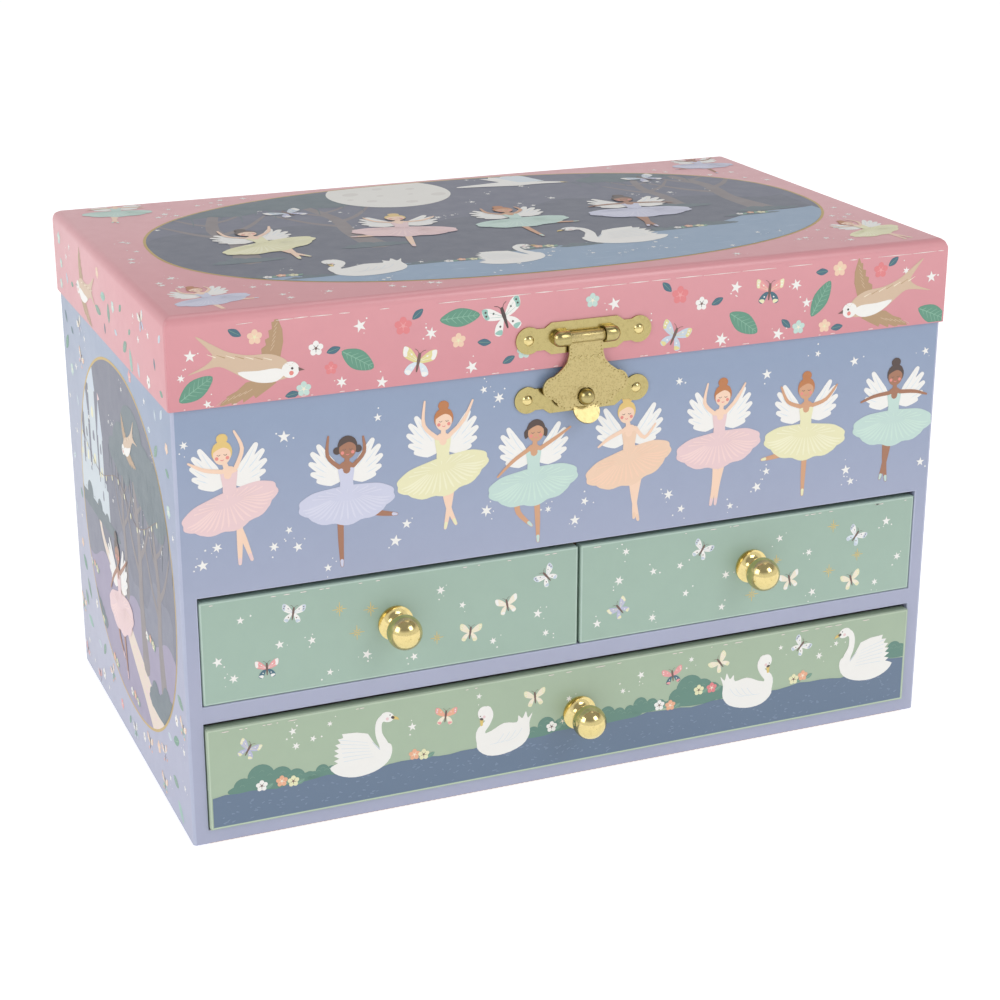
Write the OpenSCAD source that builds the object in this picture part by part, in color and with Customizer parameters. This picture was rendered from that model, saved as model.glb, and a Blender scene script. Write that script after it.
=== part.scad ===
// Musical jewellery box: a papered wooden case with two small drawers over one wide drawer,
// a hinged lid with a hasp, a divided tray, and a wind-up movement that turns a dancer.
// Millimetres. Origin at the centre of the underside, +X to the right, -Y to the front, +Z up.

/* [Case] */
// Outside width of the case
case_w = 280; // [240:1:340]
// Outside depth of the case
case_d = 166; // [150:1:200]
// Height of the case from the table to its rim
case_h = 152; // [146:1:190]
// Thickness of the outer boards
board_t = 5; // [4:0.5:6]
// Thickness of the base board
base_t = 5; // [4:0.5:8]
// Thickness of the shelf between the drawers
shelf_t = 6; // [4:0.5:8]
// Thickness of the tray floor
tray_t = 4.5; // [3:0.5:6]
// Radius of the upright corner edges
corner_r = 1; // [0.5:0.1:1.5]

/* [Lid] */
// Height of the lid
lid_h = 30; // [26:1:40]
// How far the lid stands past the case all round
lid_over = 1; // [0.5:0.1:2]
// Thickness of the lid's top board
lid_top_t = 4; // [4:0.5:6]
// Radius of the lid's top edges
lid_edge_r = 3.5; // [1:0.1:3.8]
// Length of the mirror
mirror_l = 200; // [150:1:220]
// Width of the mirror
mirror_w = 112; // [80:1:125]
// Thickness of the mirror glass
mirror_t = 1.4; // [1:0.1:2]
// Thickness of the card in front of the mirror
card_t = 1.2; // [0.8:0.1:2]
// Width of the card lip that holds the mirror
card_lip = 5; // [3:0.5:8]

/* [Drawers] */
// Height of the lower drawer's opening
low_open_h = 39; // [30:0.5:46]
// Height of the upper drawers' opening
top_open_h = 38.5; // [30:0.5:46]
// Thickness of a drawer front
front_t = 4; // [3:0.5:6]
// Thickness of a drawer's sides and back
drawer_wall_t = 3; // [2:0.5:4]
// Thickness of a drawer's bottom
drawer_floor_t = 2.5; // [1.5:0.5:4]
// Height of a drawer's bottom above its running edge
drawer_floor_up = 1.5; // [1:0.5:3]
// How far the lower drawer front stands out of the case
low_proud = 1.4; // [0:0.1:3]
// Thickness of the divider between the upper drawers
divider_t = 3; // [2:0.5:5]
// Setback of the divider behind the drawer fronts
divider_set = 2; // [1:0.5:6]
// Gap at each side of a drawer
gap_side = 0.65; // [0.3:0.05:1.2]
// Gap above a drawer front
gap_top = 2; // [1:0.1:3]
// Gap under a drawer front
gap_under = 0.4; // [0.2:0.1:1]
// Running gap under a drawer's sides
gap_run = 0.1; // [0.05:0.05:0.5]
// Gap behind a closed drawer
gap_back = 0.5; // [0.3:0.1:3]
// Drop of a drawer's sides below the top of its front
side_drop = 4; // [2:0.5:10]

/* [Knobs] */
// Radius of the ball of a knob
knob_r = 6; // [5:0.1:7]
// Distance from the drawer front to the centre of the ball
knob_out = 9; // [8.5:0.1:11]
// Radius of a knob's foot
knob_foot_r = 6.2; // [5.2:0.1:8]
// Radius of a knob's neck
knob_neck_r = 2.6; // [2.4:0.1:3]
// Radius of a knob's screw
knob_screw_r = 1.5; // [1.2:0.1:1.8]

/* [Hinges] */
// Distance from the middle of the case to each hinge
hinge_x = 85; // [60:1:100]
// Length of a hinge
hinge_l = 26; // [20:1:34]
// Length of the middle knuckle
knuckle_l = 9.6; // [6:0.2:10]
// Thickness of a hinge leaf
leaf_t = 1; // [0.8:0.1:1.4]
// Outside radius of the knuckles
knuckle_r = 2.2; // [2:0.1:3]
// Radius of a hinge pin
hinge_pin_r = 0.9; // [0.6:0.1:1.1]
// Radius of the brass nails
nail_r = 0.6; // [0.5:0.1:0.8]
// Length of the hinge nails
nail_l = 8; // [5:0.5:12]

/* [Hasp] */
// Distance from the middle of a plate to the centre of its round ends
plate_half = 20; // [19:0.1:26]
// Radius of the plates' round ends
plate_end_r = 4.6; // [3.5:0.1:4.8]
// Thickness of the hasp's sheet brass
hasp_t = 0.8; // [0.6:0.1:1]
// Height of the hasp's pivot above the lid's lower edge
hasp_up = 10.3; // [8:0.1:14]
// Outside radius of the flap's knuckle
barrel_r = 2; // [1.6:0.1:2.1]
// Outside radius of the plate's domed knuckles
dome_r = 2.8; // [2.2:0.1:3]
// Radius of the hasp's pin
hasp_pin_r = 0.6; // [0.4:0.1:0.7]
// Length of the flap's knuckle
flap_knuckle_l = 12.4; // [11:0.1:13]
// Length of each of the plate's knuckles
plate_knuckle_l = 5.9; // [4.5:0.1:6.2]
// Drop of the stud below the pivot
stud_drop = 20.7; // [19:0.1:24]
// Radius of the ball on the stud
stud_r = 2.8; // [2:0.1:3]
// Gap between the ball and the hole in the flap
stud_gap = 0.3; // [0.2:0.05:0.6]

/* [Tray] */
// Inside width of the stage housing
stage_w = 90; // [84:1:100]
// Depth of the stage housing from the back board
stage_d = 76; // [74:1:90]
// Clear height under the stage
stage_h = 28; // [28:0.5:34]
// Thickness of the stage board
stage_t = 3; // [2:0.5:5]
// Thickness of the tray's partitions
part_t = 3; // [2:0.5:4]
// Thickness of the felt
felt_t = 1; // [0.5:0.1:2]
// Radius of a ring roll
roll_r = 9; // [6:0.5:9.5]
// Number of ring rolls
roll_n = 5; // [3:1:6]
// Gap round soft pieces
soft_gap = 0.4; // [0.2:0.1:1]

/* [Movement] */
// Height of the arbors above the tray floor
arbor_up = 14; // [14:0.5:16]
// Tooth pitch of the spur wheels, as a module
gear_m = 0.6667; // [0.6:0.0001:0.72]
// Teeth on the great wheel
great_n = 30; // [30]
// Teeth on the cylinder's pinion
pinion_n = 12; // [12]
// Teeth on the wheel that drives the air brake
brake_n = 30; // [30]
// Teeth on the air brake's pinion
fly_n = 9; // [9]
// Radius of the winding arbor
wind_r = 1.5; // [1.2:0.1:1.7]
// Radius of the cylinder's arbor
arbor_r = 1; // [0.8:0.1:1.2]
// Radius of the air brake's arbor
fly_r = 0.8; // [0.6:0.1:1]
// Radius of the pinned cylinder
drum_r = 6.5; // [5.5:0.1:6.8]
// Length of the pins on the cylinder
pin_up = 0.6; // [0.4:0.1:0.7]
// Outside radius of the spring housing
housing_r = 11; // [9:0.1:11.4]
// Radius of the dancer's spindle
spindle_r = 1; // [0.8:0.1:1.2]
// Half span of the air brake's vanes
vane_r = 6.5; // [4:0.1:7]
// Travel of the stop wire
stop_travel = 4; // [3:0.5:5]
// Running clearance round an arbor
run_fit = 0.06; // [0.03:0.01:0.1]

/* [Dancer] */
// Radius of the dancer's coil spring
coil_r = 2.2; // [1.8:0.1:2.8]
// Height of the dancer's coil spring
coil_h = 6.4; // [5:0.2:9]
// Gap between the dancer and the mirror
dancer_gap = 0.8; // [0.5:0.1:2]

/* [Hidden] */
$fn = 64;

// case levels
hw = case_w / 2;
hd = case_d / 2;
in_x = hw - board_t;
in_y = hd - board_t;
z_shelf = base_t + low_open_h;
z_top = z_shelf + shelf_t;
z_tray = z_top + top_open_h;
z_floor = z_tray + tray_t;
z_under = z_floor + stage_h;
z_stage = z_under + stage_t;
rim = case_h;
// lid levels
lid_x = hw + lid_over;
lid_y = hd + lid_over;
lid_z = rim + lid_h;
lid_in = lid_z - lid_top_t;
card_z = lid_in - mirror_t - card_t;
// hinge axis
hinge_y = lid_y + knuckle_r + 0.3;
leaf_gap = 0.1;
// hasp
hasp_y = -lid_y - barrel_r - 0.1;
tab_r = 4.65;
hasp_z = rim + hasp_up;
stud_z = hasp_z - stud_drop;
flap_end = stud_drop + 4.1;
// movement places, measured back from the back board's inner face
function yb(d) = in_y - d;
mz = z_floor + arbor_up;
bed_t = 2;
great_r = great_n * gear_m / 2;
pin_r = pinion_n * gear_m / 2;
brake_r = brake_n * gear_m / 2;
flyp_r = fly_n * gear_m / 2;
wind_x = great_r + pin_r;
fly_x = -(brake_r + flyp_r);
dancer_y = yb(66);
peg_n = 24;
peg_ring = 9;
crown_n = 8;
crown_r = peg_ring * crown_n / peg_n;
comb_gap = 0.3;
comb_x = -(drum_r + pin_up + comb_gap);
stop_x = -24;
stop_y = yb(6);
stop_tip = rim + 4;
// dancer
disc_z = z_stage + 0.8;
coil_z = disc_z + 1;
foot_z = coil_z + coil_h;
dancer_z = foot_z + 1;
u = (card_z - dancer_gap - dancer_z) / 41.4;
// colours
pink = [0.84, 0.56, 0.6];
lilac = [0.6, 0.65, 0.77];
sage = [0.63, 0.73, 0.68];
green = [0.66, 0.74, 0.63];
brass = [0.8, 0.64, 0.34];
steel = [0.7, 0.71, 0.73];
felt = [0.8, 0.6, 0.68];
board = [0.72, 0.6, 0.45];

module bx(x, y, z)
    translate([x[0], y[0], z[0]]) cube([x[1] - x[0], y[1] - y[0], z[1] - z[0]]);
// round bar along Y, X and Z
module rody(x, z, y, r) translate([x, y[0], z]) rotate([-90, 0, 0]) cylinder(h = y[1] - y[0], r = r);
module rodx(y, z, x, r) translate([x[0], y, z]) rotate([0, 90, 0]) cylinder(h = x[1] - x[0], r = r);
module rodz(x, y, z, r) translate([x, y, z[0]]) cylinder(h = z[1] - z[0], r = r);
// sheet whose back lies at y, drawn in X and Z, t thick towards the front
module sheet(y, t) translate([0, y, 0]) rotate([90, 0, 0]) linear_extrude(t) children();

// ---- case ----
module upright(s)
    linear_extrude(rim) difference() {
        union() {
            translate([s > 0 ? in_x : -hw, -hd]) square([board_t, case_d]);
        }
        for (e = [-1, 1]) difference() {
            translate([s * hw, e * hd]) square(2 * corner_r, center = true);
            translate([s * (hw - corner_r), e * (hd - corner_r)]) circle(corner_r);
            translate([s * (hw - 2 * corner_r), e * hd]) square(2 * corner_r, center = true);
            translate([s * hw, e * (hd - 2 * corner_r)]) square(2 * corner_r, center = true);
        }
    }
module base_board() color(board) bx([-in_x, in_x], [-hd, in_y], [0, base_t]);
module left_side_board() color(lilac) upright(-1);
module right_side_board() color(lilac) upright(1);
module back_board() color(lilac) difference() {
    bx([-in_x, in_x], [in_y, hd], [0, rim]);
    for (s = [-1, 1]) {
        bx([s * hinge_x - hinge_l / 2 - 0.1, s * hinge_x + hinge_l / 2 + 0.1],
            [in_y + 0.9, hd + 1], [rim - leaf_gap - leaf_t, rim + 1]);
        hinge_nails(s, rim, -1, 0.05);
    }
    rody(wind_x, mz, [in_y - 1, hd + 1], wind_r + 1.6);
}
module front_apron() color(lilac) difference() {
    bx([-in_x, in_x], [-hd, -in_y], [z_tray, rim]);
    rody(0, stud_z, [-hd - 1, -hd + 4.05], 1.3 + 0.03);
    for (s = [-1, 1]) rody(s * plate_half, stud_z, [-hd - 1, -hd + 4.05], nail_r + 0.03);
}
module middle_shelf() color(lilac) bx([-in_x, in_x], [-hd, in_y], [z_shelf, z_top]);
module drawer_divider() color(board)
    bx([-divider_t / 2, divider_t / 2], [-hd + front_t + divider_set, in_y], [z_top, z_tray]);
module tray_floor() color(board) difference() {
    bx([-in_x, in_x], [-in_y, in_y], [z_tray, z_floor]);
    bed_screws(0.03);
}

// ---- tray ----
well_x = stage_w / 2 + part_t;
roll_pitch = 2 * roll_r + 0.4;
rolls_front = in_y - 2 * soft_gap - roll_n * roll_pitch;
module tray_partitions() color(pink) {
    for (s = [-1, 1])
        bx([s > 0 ? stage_w / 2 : -well_x, s > 0 ? well_x : -stage_w / 2], [-in_y, in_y], [z_floor, z_stage]);
    bx([-stage_w / 2, stage_w / 2], [yb(stage_d), yb(stage_d) + part_t], [z_floor, z_under]);
    bx([-in_x, -well_x], [rolls_front - part_t, rolls_front], [z_floor, z_floor + 2 * roll_r + 4]);
}
module tray_felt() color(felt) {
    bx([-in_x + soft_gap, -well_x - soft_gap], [-in_y + soft_gap, rolls_front - part_t - soft_gap],
        [z_floor, z_floor + felt_t]);
    bx([-in_x + soft_gap, -well_x - soft_gap], [rolls_front + soft_gap, in_y - soft_gap],
        [z_floor, z_floor + felt_t]);
    bx([-stage_w / 2 + soft_gap, stage_w / 2 - soft_gap], [-in_y + soft_gap, yb(stage_d) - soft_gap],
        [z_floor, z_floor + felt_t]);
    bx([well_x + soft_gap, in_x - soft_gap], [-in_y + soft_gap, in_y - soft_gap],
        [z_floor, z_floor + felt_t]);
}
module ring_rolls() color(felt)
    for (i = [0 : roll_n - 1])
        rodx(rolls_front + soft_gap + roll_pitch * (i + 0.5), z_floor + felt_t + 0.15 + roll_r,
            [-in_x + 2 * soft_gap, -well_x - 2 * soft_gap], roll_r);
module stage_board() color(lilac) difference() {
    bx([-stage_w / 2, stage_w / 2], [yb(stage_d), in_y], [z_under, z_stage]);
    rodz(0, dancer_y, [z_under - 1, z_stage + 1], spindle_r + 0.8);
    rodz(stop_x, stop_y, [z_under - 1, z_stage + 1], 1.3);
}

// ---- hinges ----
// two nails in each leaf; d is the extra radius of their holes
module hinge_nails(s, z, up, d)
    for (e = [-1, 1]) {
        x = s * hinge_x + e * hinge_l * 0.36;
        z0 = z + up * (leaf_gap + 0.02);
        rodz(x, in_y + 2.9, up > 0 ? [z0, z0 + nail_l + d] : [z0 - nail_l - d, z0], nail_r + d);
        rodz(x, in_y + 2.9,
            up > 0 ? [z0 - (d > 0 ? 1 : 0), z0 + 0.45 + d] : [z0 - 0.45 - d, z0 + (d > 0 ? 1 : 0)],
            1.15 + d);
    }
module leaf(s, body) {
    x = s * hinge_x;
    z = body ? [rim - leaf_gap - leaf_t, rim - leaf_gap] : [rim + leaf_gap, rim + leaf_gap + leaf_t];
    difference() {
        union() {
            bx([x - hinge_l / 2, x + hinge_l / 2], [in_y + 1, body ? hd : lid_y], z);
            if (body) for (e = [-1, 1]) {
                a = e > 0 ? [x + knuckle_l / 2 + 0.2, x + hinge_l / 2]
                    : [x - hinge_l / 2, x - knuckle_l / 2 - 0.2];
                bx(a, [hd - 0.5, hinge_y], z);
                rodx(hinge_y, rim, a, knuckle_r);
            } else {
                bx([x - knuckle_l / 2, x + knuckle_l / 2], [lid_y - 0.5, hinge_y], z);
                rodx(hinge_y, rim, [x - knuckle_l / 2, x + knuckle_l / 2], knuckle_r);
            }
        }
        rodx(hinge_y, rim, [x - hinge_l, x + hinge_l], hinge_pin_r + (body ? 0.02 : run_fit));
        hinge_nails(s, rim, body ? -1 : 1, 0.05);
    }
}
module hinge_leaves_case() color(brass) for (s = [-1, 1]) leaf(s, true);
module hinge_leaves_lid() color(brass) for (s = [-1, 1]) leaf(s, false);
module hinge_pins() color(steel)
    for (s = [-1, 1])
        rodx(hinge_y, rim, [s * hinge_x - hinge_l / 2 - 0.4, s * hinge_x + hinge_l / 2 + 0.4], hinge_pin_r);
// domed nail standing out of a sheet whose face is at y
module dome_nail(x, z, y, l) {
    rody(x, z, [y - 0.2, y + l], nail_r);
    intersection() {
        translate([x, y + 1.1, z]) sphere(2.1);
        bx([x - 3, x + 3], [y - 3, y], [z - 3, z + 3]);
    }
}
module case_nails() color(brass) {
    for (s = [-1, 1]) {
        hinge_nails(s, rim, -1, 0);
        dome_nail(s * plate_half, stud_z, -hd - hasp_t, 4 + hasp_t);
    }
}
module lid_nails() color(brass) {
    for (s = [-1, 1]) {
        hinge_nails(s, rim, 1, 0);
        dome_nail(s * plate_half, hasp_z, -lid_y - hasp_t, 4 + hasp_t);
    }
}

// ---- hasp ----
// outline of a plate with round ends, narrow waists and a wider middle
module plate2d(z) {
    waist = plate_end_r - 0.9;
    mid = plate_end_r + 0.8;
    polygon([[-plate_half, z - waist], [-14.4, z - waist], [-12, z - mid], [12, z - mid], [14.4, z - waist],
        [plate_half, z - waist], [plate_half, z + waist], [14.4, z + waist], [12, z + mid], [-12, z + mid],
        [-14.4, z + waist], [-plate_half, z + waist]]);
    for (s = [-1, 1]) translate([s * plate_half, z]) circle(plate_end_r);
}
module catch_plate() color(brass) sheet(-hd, hasp_t) difference() {
    plate2d(stud_z);
    translate([0, stud_z]) circle(1.3 + 0.03);
    for (s = [-1, 1]) translate([s * plate_half, stud_z]) circle(nail_r + 0.03);
}
module catch_stud() color(brass) {
    rody(0, stud_z, [hasp_y - 1, -hd + 4], 1.3);
    translate([0, hasp_y - 1, stud_z]) sphere(stud_r);
}
// length of a side knuckle, from its inner end
knuckle_x = flap_knuckle_l / 2 + 0.2;
// knuckle pressed out of the plate as a dome, from its inner end outwards
module side_knuckle(s) intersection() {
    translate([s * knuckle_x, hasp_y, hasp_z]) rotate([0, s * 90, 0]) rotate_extrude() intersection() {
        union() {
            square([dome_r, plate_knuckle_l - dome_r]);
            translate([0, plate_knuckle_l - dome_r]) circle(dome_r);
        }
        square([dome_r, plate_knuckle_l]);
    }
    bx(s > 0 ? [knuckle_x - 1, 20] : [-20, 1 - knuckle_x], [hasp_y - 5, -lid_y - hasp_t / 2],
        [hasp_z - 5, hasp_z + 5]);
}
module clasp_plate() color(brass) difference() {
    union() {
        sheet(-lid_y, hasp_t) difference() {
            plate2d(hasp_z);
            for (s = [-1, 1]) translate([s * plate_half, hasp_z]) circle(nail_r + 0.03);
        }
        side_knuckle(1);
        side_knuckle(-1);
    }
    rodx(hasp_y, hasp_z, [-knuckle_x - 4, knuckle_x + 4], hasp_pin_r + 0.02);
    // slot for the flap's knuckle to turn in
    rodx(hasp_y, hasp_z, [-knuckle_x, knuckle_x], barrel_r + 0.15);
}
module clasp_pin() color(steel) rodx(hasp_y, hasp_z, [-knuckle_x - 3.8, knuckle_x + 3.8], hasp_pin_r);
module clasp_flap() color(brass) difference() {
    union() {
        rodx(hasp_y, hasp_z, [-flap_knuckle_l / 2, flap_knuckle_l / 2], barrel_r);
        sheet(hasp_y + hasp_t / 2, hasp_t) intersection() {
            union() {
                polygon([for (p = flap_pts) [p[0], hasp_z - p[1]], for (i = [len(flap_pts) - 1 : -1 : 0])
                    [-flap_pts[i][0], hasp_z - flap_pts[i][1]]]);
                for (s = [-1, 1]) {
                    translate([s * 11.6, stud_z + 4]) circle(3.9);
                    translate([s * 6.6, stud_z - 0.4]) circle(3.9);
                    translate([s * 9, stud_z + 0.4]) circle(2.2);
                }
                translate([0, stud_z]) circle(4.5);
            }
            translate([-20, hasp_z - flap_end - 3]) square([40, flap_end + 3]);
        }
        // finger tab, bent outwards
        translate([0, hasp_y, hasp_z - flap_end + 0.6]) rotate([-35, 0, 0]) translate([0, hasp_t / 2, -1.6])
            rotate([90, 0, 0]) cylinder(h = hasp_t, r = tab_r);
    }
    rodx(hasp_y, hasp_z, [-30, 30], hasp_pin_r + run_fit);
    rody(0, stud_z, [hasp_y - 2, hasp_y + 3], stud_r + stud_gap);
}
// right-hand edge of the flap: distance from the middle, and drop below the pivot
flap_pts = [[6.1, 0], [6.2, 5.8], [6.9, 8.4], [8.7, 10.6], [12, 13], [14.3, 15], [15.3, 17],
    [11, stud_drop + 1],
    [6, stud_drop + 3]];

// ---- lid ----
// board rounded along its upper edges
module lid_top_board() color(pink) intersection() {
    translate([-lid_x, 0, 0]) rotate([90, 0, 90]) linear_extrude(2 * lid_x) roof2d(lid_y);
    translate([0, lid_y, 0]) rotate([90, 0, 0]) linear_extrude(2 * lid_y) roof2d(lid_x);
}
module roof2d(a) {
    translate([-a, lid_in]) square([2 * a, lid_top_t - lid_edge_r]);
    translate([-a + lid_edge_r, lid_in]) square([2 * (a - lid_edge_r), lid_top_t]);
    intersection() {
        translate([-a, lid_in]) square([2 * a, lid_top_t]);
        for (s = [-1, 1]) translate([s * (a - lid_edge_r), lid_z - lid_edge_r]) circle(lid_edge_r);
    }
}
module lid_front_board() color(pink) difference() {
    bx([-lid_x, lid_x], [-lid_y, -in_y], [rim, lid_in]);
    for (s = [-1, 1]) rody(s * plate_half, hasp_z, [-lid_y - 1, -lid_y + 4.05], nail_r + 0.03);
}
module lid_back_board() color(pink) difference() {
    union() {
        bx([-lid_x, lid_x], [in_y, lid_y], [rim, lid_in]);
        // block that presses the stop wire down
        bx([stop_x - 4, stop_x + 4], [stop_y - 2.5, in_y], [stop_tip + 0.1, stop_tip + 5]);
    }
    for (s = [-1, 1]) {
        bx([s * hinge_x - hinge_l / 2 - 0.1, s * hinge_x + hinge_l / 2 + 0.1],
            [in_y + 0.9, lid_y + 1], [rim - 1, rim + leaf_gap + leaf_t]);
        hinge_nails(s, rim, 1, 0.05);
    }
}
module lid_side_boards() color(pink)
    for (s = [-1, 1]) bx(s > 0 ? [in_x, lid_x] : [-lid_x, -in_x], [-in_y, in_y], [rim, lid_in]);
module mirror() color([0.8, 0.84, 0.86])
    bx([-mirror_l / 2, mirror_l / 2], [-mirror_w / 2, mirror_w / 2], [card_z + card_t, lid_in]);
module mirror_frame() color(felt) difference() {
    bx([-in_x + soft_gap, in_x - soft_gap], [-in_y + soft_gap, in_y - soft_gap], [card_z, lid_in]);
    bx([-mirror_l / 2 - 0.2, mirror_l / 2 + 0.2], [-mirror_w / 2 - 0.2, mirror_w / 2 + 0.2],
        [card_z + card_t, lid_in + 1]);
    bx([-mirror_l / 2 + card_lip, mirror_l / 2 - card_lip],
        [-mirror_w / 2 + card_lip, mirror_w / 2 - card_lip],
        [card_z - 1, lid_in + 1]);
}

// ---- drawers ----
// x: opening, w: room for the box, z: floor it runs on, h: opening height, out: how far it stands proud
module d_front(x, z, h, out, c) color(c) difference() {
    bx([x[0] + gap_side, x[1] - gap_side], [-hd - out, -hd - out + front_t],
        [z + gap_under, z + h - gap_top]);
    rody((x[0] + x[1]) / 2, z + h / 2, [-hd - out - 1, -hd - out + front_t + 1], knob_screw_r + 0.1);
}
module d_walls(w, z, h, out) color(board) {
    top = z + h - gap_top - side_drop;
    y = [-hd - out + front_t, in_y - gap_back];
    difference() {
        bx([w[0] + gap_side, w[1] - gap_side], y, [z + gap_run, top]);
        bx([w[0] + gap_side + drawer_wall_t, w[1] - gap_side - drawer_wall_t],
            [y[0] - 1, y[1] - drawer_wall_t],
            [z - 1, top + 1]);
    }
}
module d_floor(w, z, out) color(board)
    bx([w[0] + gap_side + drawer_wall_t, w[1] - gap_side - drawer_wall_t],
        [-hd - out + front_t, in_y - gap_back - drawer_wall_t],
        [z + gap_run + drawer_floor_up, z + gap_run + drawer_floor_up + drawer_floor_t]);
module d_knob(x, z, h, out) color(brass)
    translate([(x[0] + x[1]) / 2, -hd - out, z + h / 2]) rotate([90, 0, 0]) difference() {
        union() {
            translate([0, 0, knob_out]) sphere(knob_r);
            cylinder(h = knob_out - 2, r = knob_neck_r);
            rotate_extrude() difference() {
                square([knob_foot_r, 3.6]);
                translate([knob_foot_r, 0.8 + knob_foot_r - knob_neck_r]) circle(knob_foot_r - knob_neck_r);
            }
        }
        translate([0, 0, -1]) cylinder(h = knob_out, r = knob_screw_r + 0.05);
    }
module d_screw(x, z, h, out) color(steel) {
    y = -hd - out;
    rody((x[0] + x[1]) / 2, z + h / 2, [y - knob_out + 1.2, y + front_t + 1], knob_screw_r);
    rody((x[0] + x[1]) / 2, z + h / 2, [y + front_t, y + front_t + 1.6], knob_screw_r + 1.8);
}
xl = [-in_x, 0];
wl = [-in_x, -divider_t / 2];
xr = [0, in_x];
wr = [divider_t / 2, in_x];
xb = [-in_x, in_x];
module left_drawer_front() d_front(xl, z_top, top_open_h, 0, sage);
module left_drawer_walls() d_walls(wl, z_top, top_open_h, 0);
module left_drawer_bottom() d_floor(wl, z_top, 0);
module left_drawer_knob() d_knob(xl, z_top, top_open_h, 0);
module left_drawer_screw() d_screw(xl, z_top, top_open_h, 0);
module right_drawer_front() d_front(xr, z_top, top_open_h, 0, sage);
module right_drawer_walls() d_walls(wr, z_top, top_open_h, 0);
module right_drawer_bottom() d_floor(wr, z_top, 0);
module right_drawer_knob() d_knob(xr, z_top, top_open_h, 0);
module right_drawer_screw() d_screw(xr, z_top, top_open_h, 0);
module low_drawer_front() d_front(xb, base_t, low_open_h, low_proud, green);
module low_drawer_walls() d_walls(xb, base_t, low_open_h, low_proud);
module low_drawer_bottom() d_floor(xb, base_t, low_proud);
module low_drawer_knob() d_knob(xb, base_t, low_open_h, low_proud);
module low_drawer_screw() d_screw(xb, base_t, low_open_h, low_proud);

// ---- movement ----
function pol(r, a) = [r * cos(a), r * sin(a)];
// spur wheel outline: n teeth on pitch radius r, th wide at the pitch line, first tooth at angle a
module spur(n, r, th, a) {
    add = 0.8 * gear_m;
    ded = 1.1 * gear_m;
    h0 = th / 2 * 57.3 / r;
    polygon([for (i = [0 : n - 1]) each [
        pol(r - ded, a + i * 360 / n - h0 * 1.35), pol(r, a + i * 360 / n - h0),
        pol(r + add, a + i * 360 / n - h0 * 0.45), pol(r + add, a + i * 360 / n + h0 * 0.45),
        pol(r, a + i * 360 / n + h0), pol(r - ded, a + i * 360 / n + h0 * 1.35)]]);
}
module wheel(x, y, n, r, th, a) translate([x, y[1], mz]) rotate([90, 0, 0])
    linear_extrude(y[1] - y[0]) spur(n, r, th, a);
module bed_screws(d)
    for (s = [-1, 1], y = [yb(67), yb(5)]) {
        rodz(s * 28.5, y, [z_floor - 3.5 - d, z_floor + bed_t + 0.5], 1.1 + d);
        if (d == 0) rodz(s * 28.5, y, [z_floor + bed_t, z_floor + bed_t + 1.2], 2.2);
    }
module comb_screws(d)
    for (y = [yb(49), yb(40)]) {
        rodz(comb_x - 13.5, y, [mz - 6 - d, mz + 0.6 + (d > 0 ? 1 : 0)], 0.9 + d);
        if (d == 0) rodz(comb_x - 13.5, y, [mz + 0.5, mz + 1.5], 1.8);
    }
module movement_bed() color(steel) difference() {
    union() {
        bx([-32, 32], [yb(70), yb(2)], [z_floor, z_floor + bed_t]);
        bx([-5, 5], [yb(57), yb(55.5)], [z_floor + 1, mz + 4]);
        bx([fly_x - 4, wind_x + 4], [yb(28), yb(26.5)], [z_floor + 1, mz + 4]);
        bx([fly_x - 4, arbor_r + 1.5], [yb(20), yb(18.5)], [z_floor + 1, mz + 4]);
        bx([comb_x - 20, comb_x - 8], [yb(53.5), yb(35.5)], [z_floor + 1, mz - 0.5]);
    }
    rody(0, mz, [yb(60), yb(10)], arbor_r + run_fit);
    rody(wind_x, mz, [yb(30), yb(25)], wind_r + run_fit);
    rody(fly_x, mz, [yb(30), yb(10)], fly_r + run_fit);
    rodz(0, dancer_y, [z_floor - 1, z_floor + bed_t + 1], spindle_r + run_fit);
    bed_screws(0.03);
    comb_screws(0.03);
}
module comb() color(steel) difference() {
    union() {
        bx([comb_x - 19, comb_x - 7], [yb(53.5), yb(35.5)], [mz - 0.5, mz + 0.5]);
        for (i = [0 : 16]) bx([comb_x - 7.5, comb_x], [yb(53) + i, yb(53) + i + 0.7], [mz - 0.3, mz + 0.3]);
    }
    comb_screws(0.03);
}
module movement_screws() color(steel) {
    bed_screws(0);
    comb_screws(0);
}
module spring_housing() color(brass) difference() {
    union() {
        rody(wind_x, mz, [yb(18), yb(4)], housing_r);
        bx([wind_x - 6, wind_x + 6], [yb(17), yb(5)], [z_floor + bed_t, mz - housing_r + 2]);
    }
    rody(wind_x, mz, [yb(17), yb(5)], housing_r - 0.8);
    rody(wind_x, mz, [yb(20), yb(2)], wind_r + run_fit);
}
// flat spiral strip round the winding arbor
coil_n = 90;
function spi(i) = wind_r + 0.8 + (housing_r - 2.4 - wind_r - 0.8) * i / coil_n;
module mainspring() color(steel)
    translate([wind_x, yb(5.5), mz]) rotate([90, 0, 0]) linear_extrude(11) polygon(concat(
        [for (i = [0 : coil_n]) pol(spi(i), i * 20)],
        [for (i = [coil_n : -1 : 0]) pol(spi(i) + 0.5, i * 20)]));
module winding_arbor() color(steel) rody(wind_x, mz, [yb(27.8), hd + 9], wind_r);
module winding_key() color(brass) difference() {
    union() {
        rody(wind_x, mz, [hd + 1.5, hd + 12], 3.4);
        translate([0, 0, mz - 0.9]) linear_extrude(1.8) {
            for (s = [-1, 1]) translate([wind_x + s * 6.2, hd + 14.5]) difference() {
                circle(5.6);
                circle(2.6);
            }
            translate([wind_x - 3.4, hd + 9]) square([6.8, 7.5]);
        }
    }
    rody(wind_x, mz, [hd, hd + 9], wind_r + 0.02);
}
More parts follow.
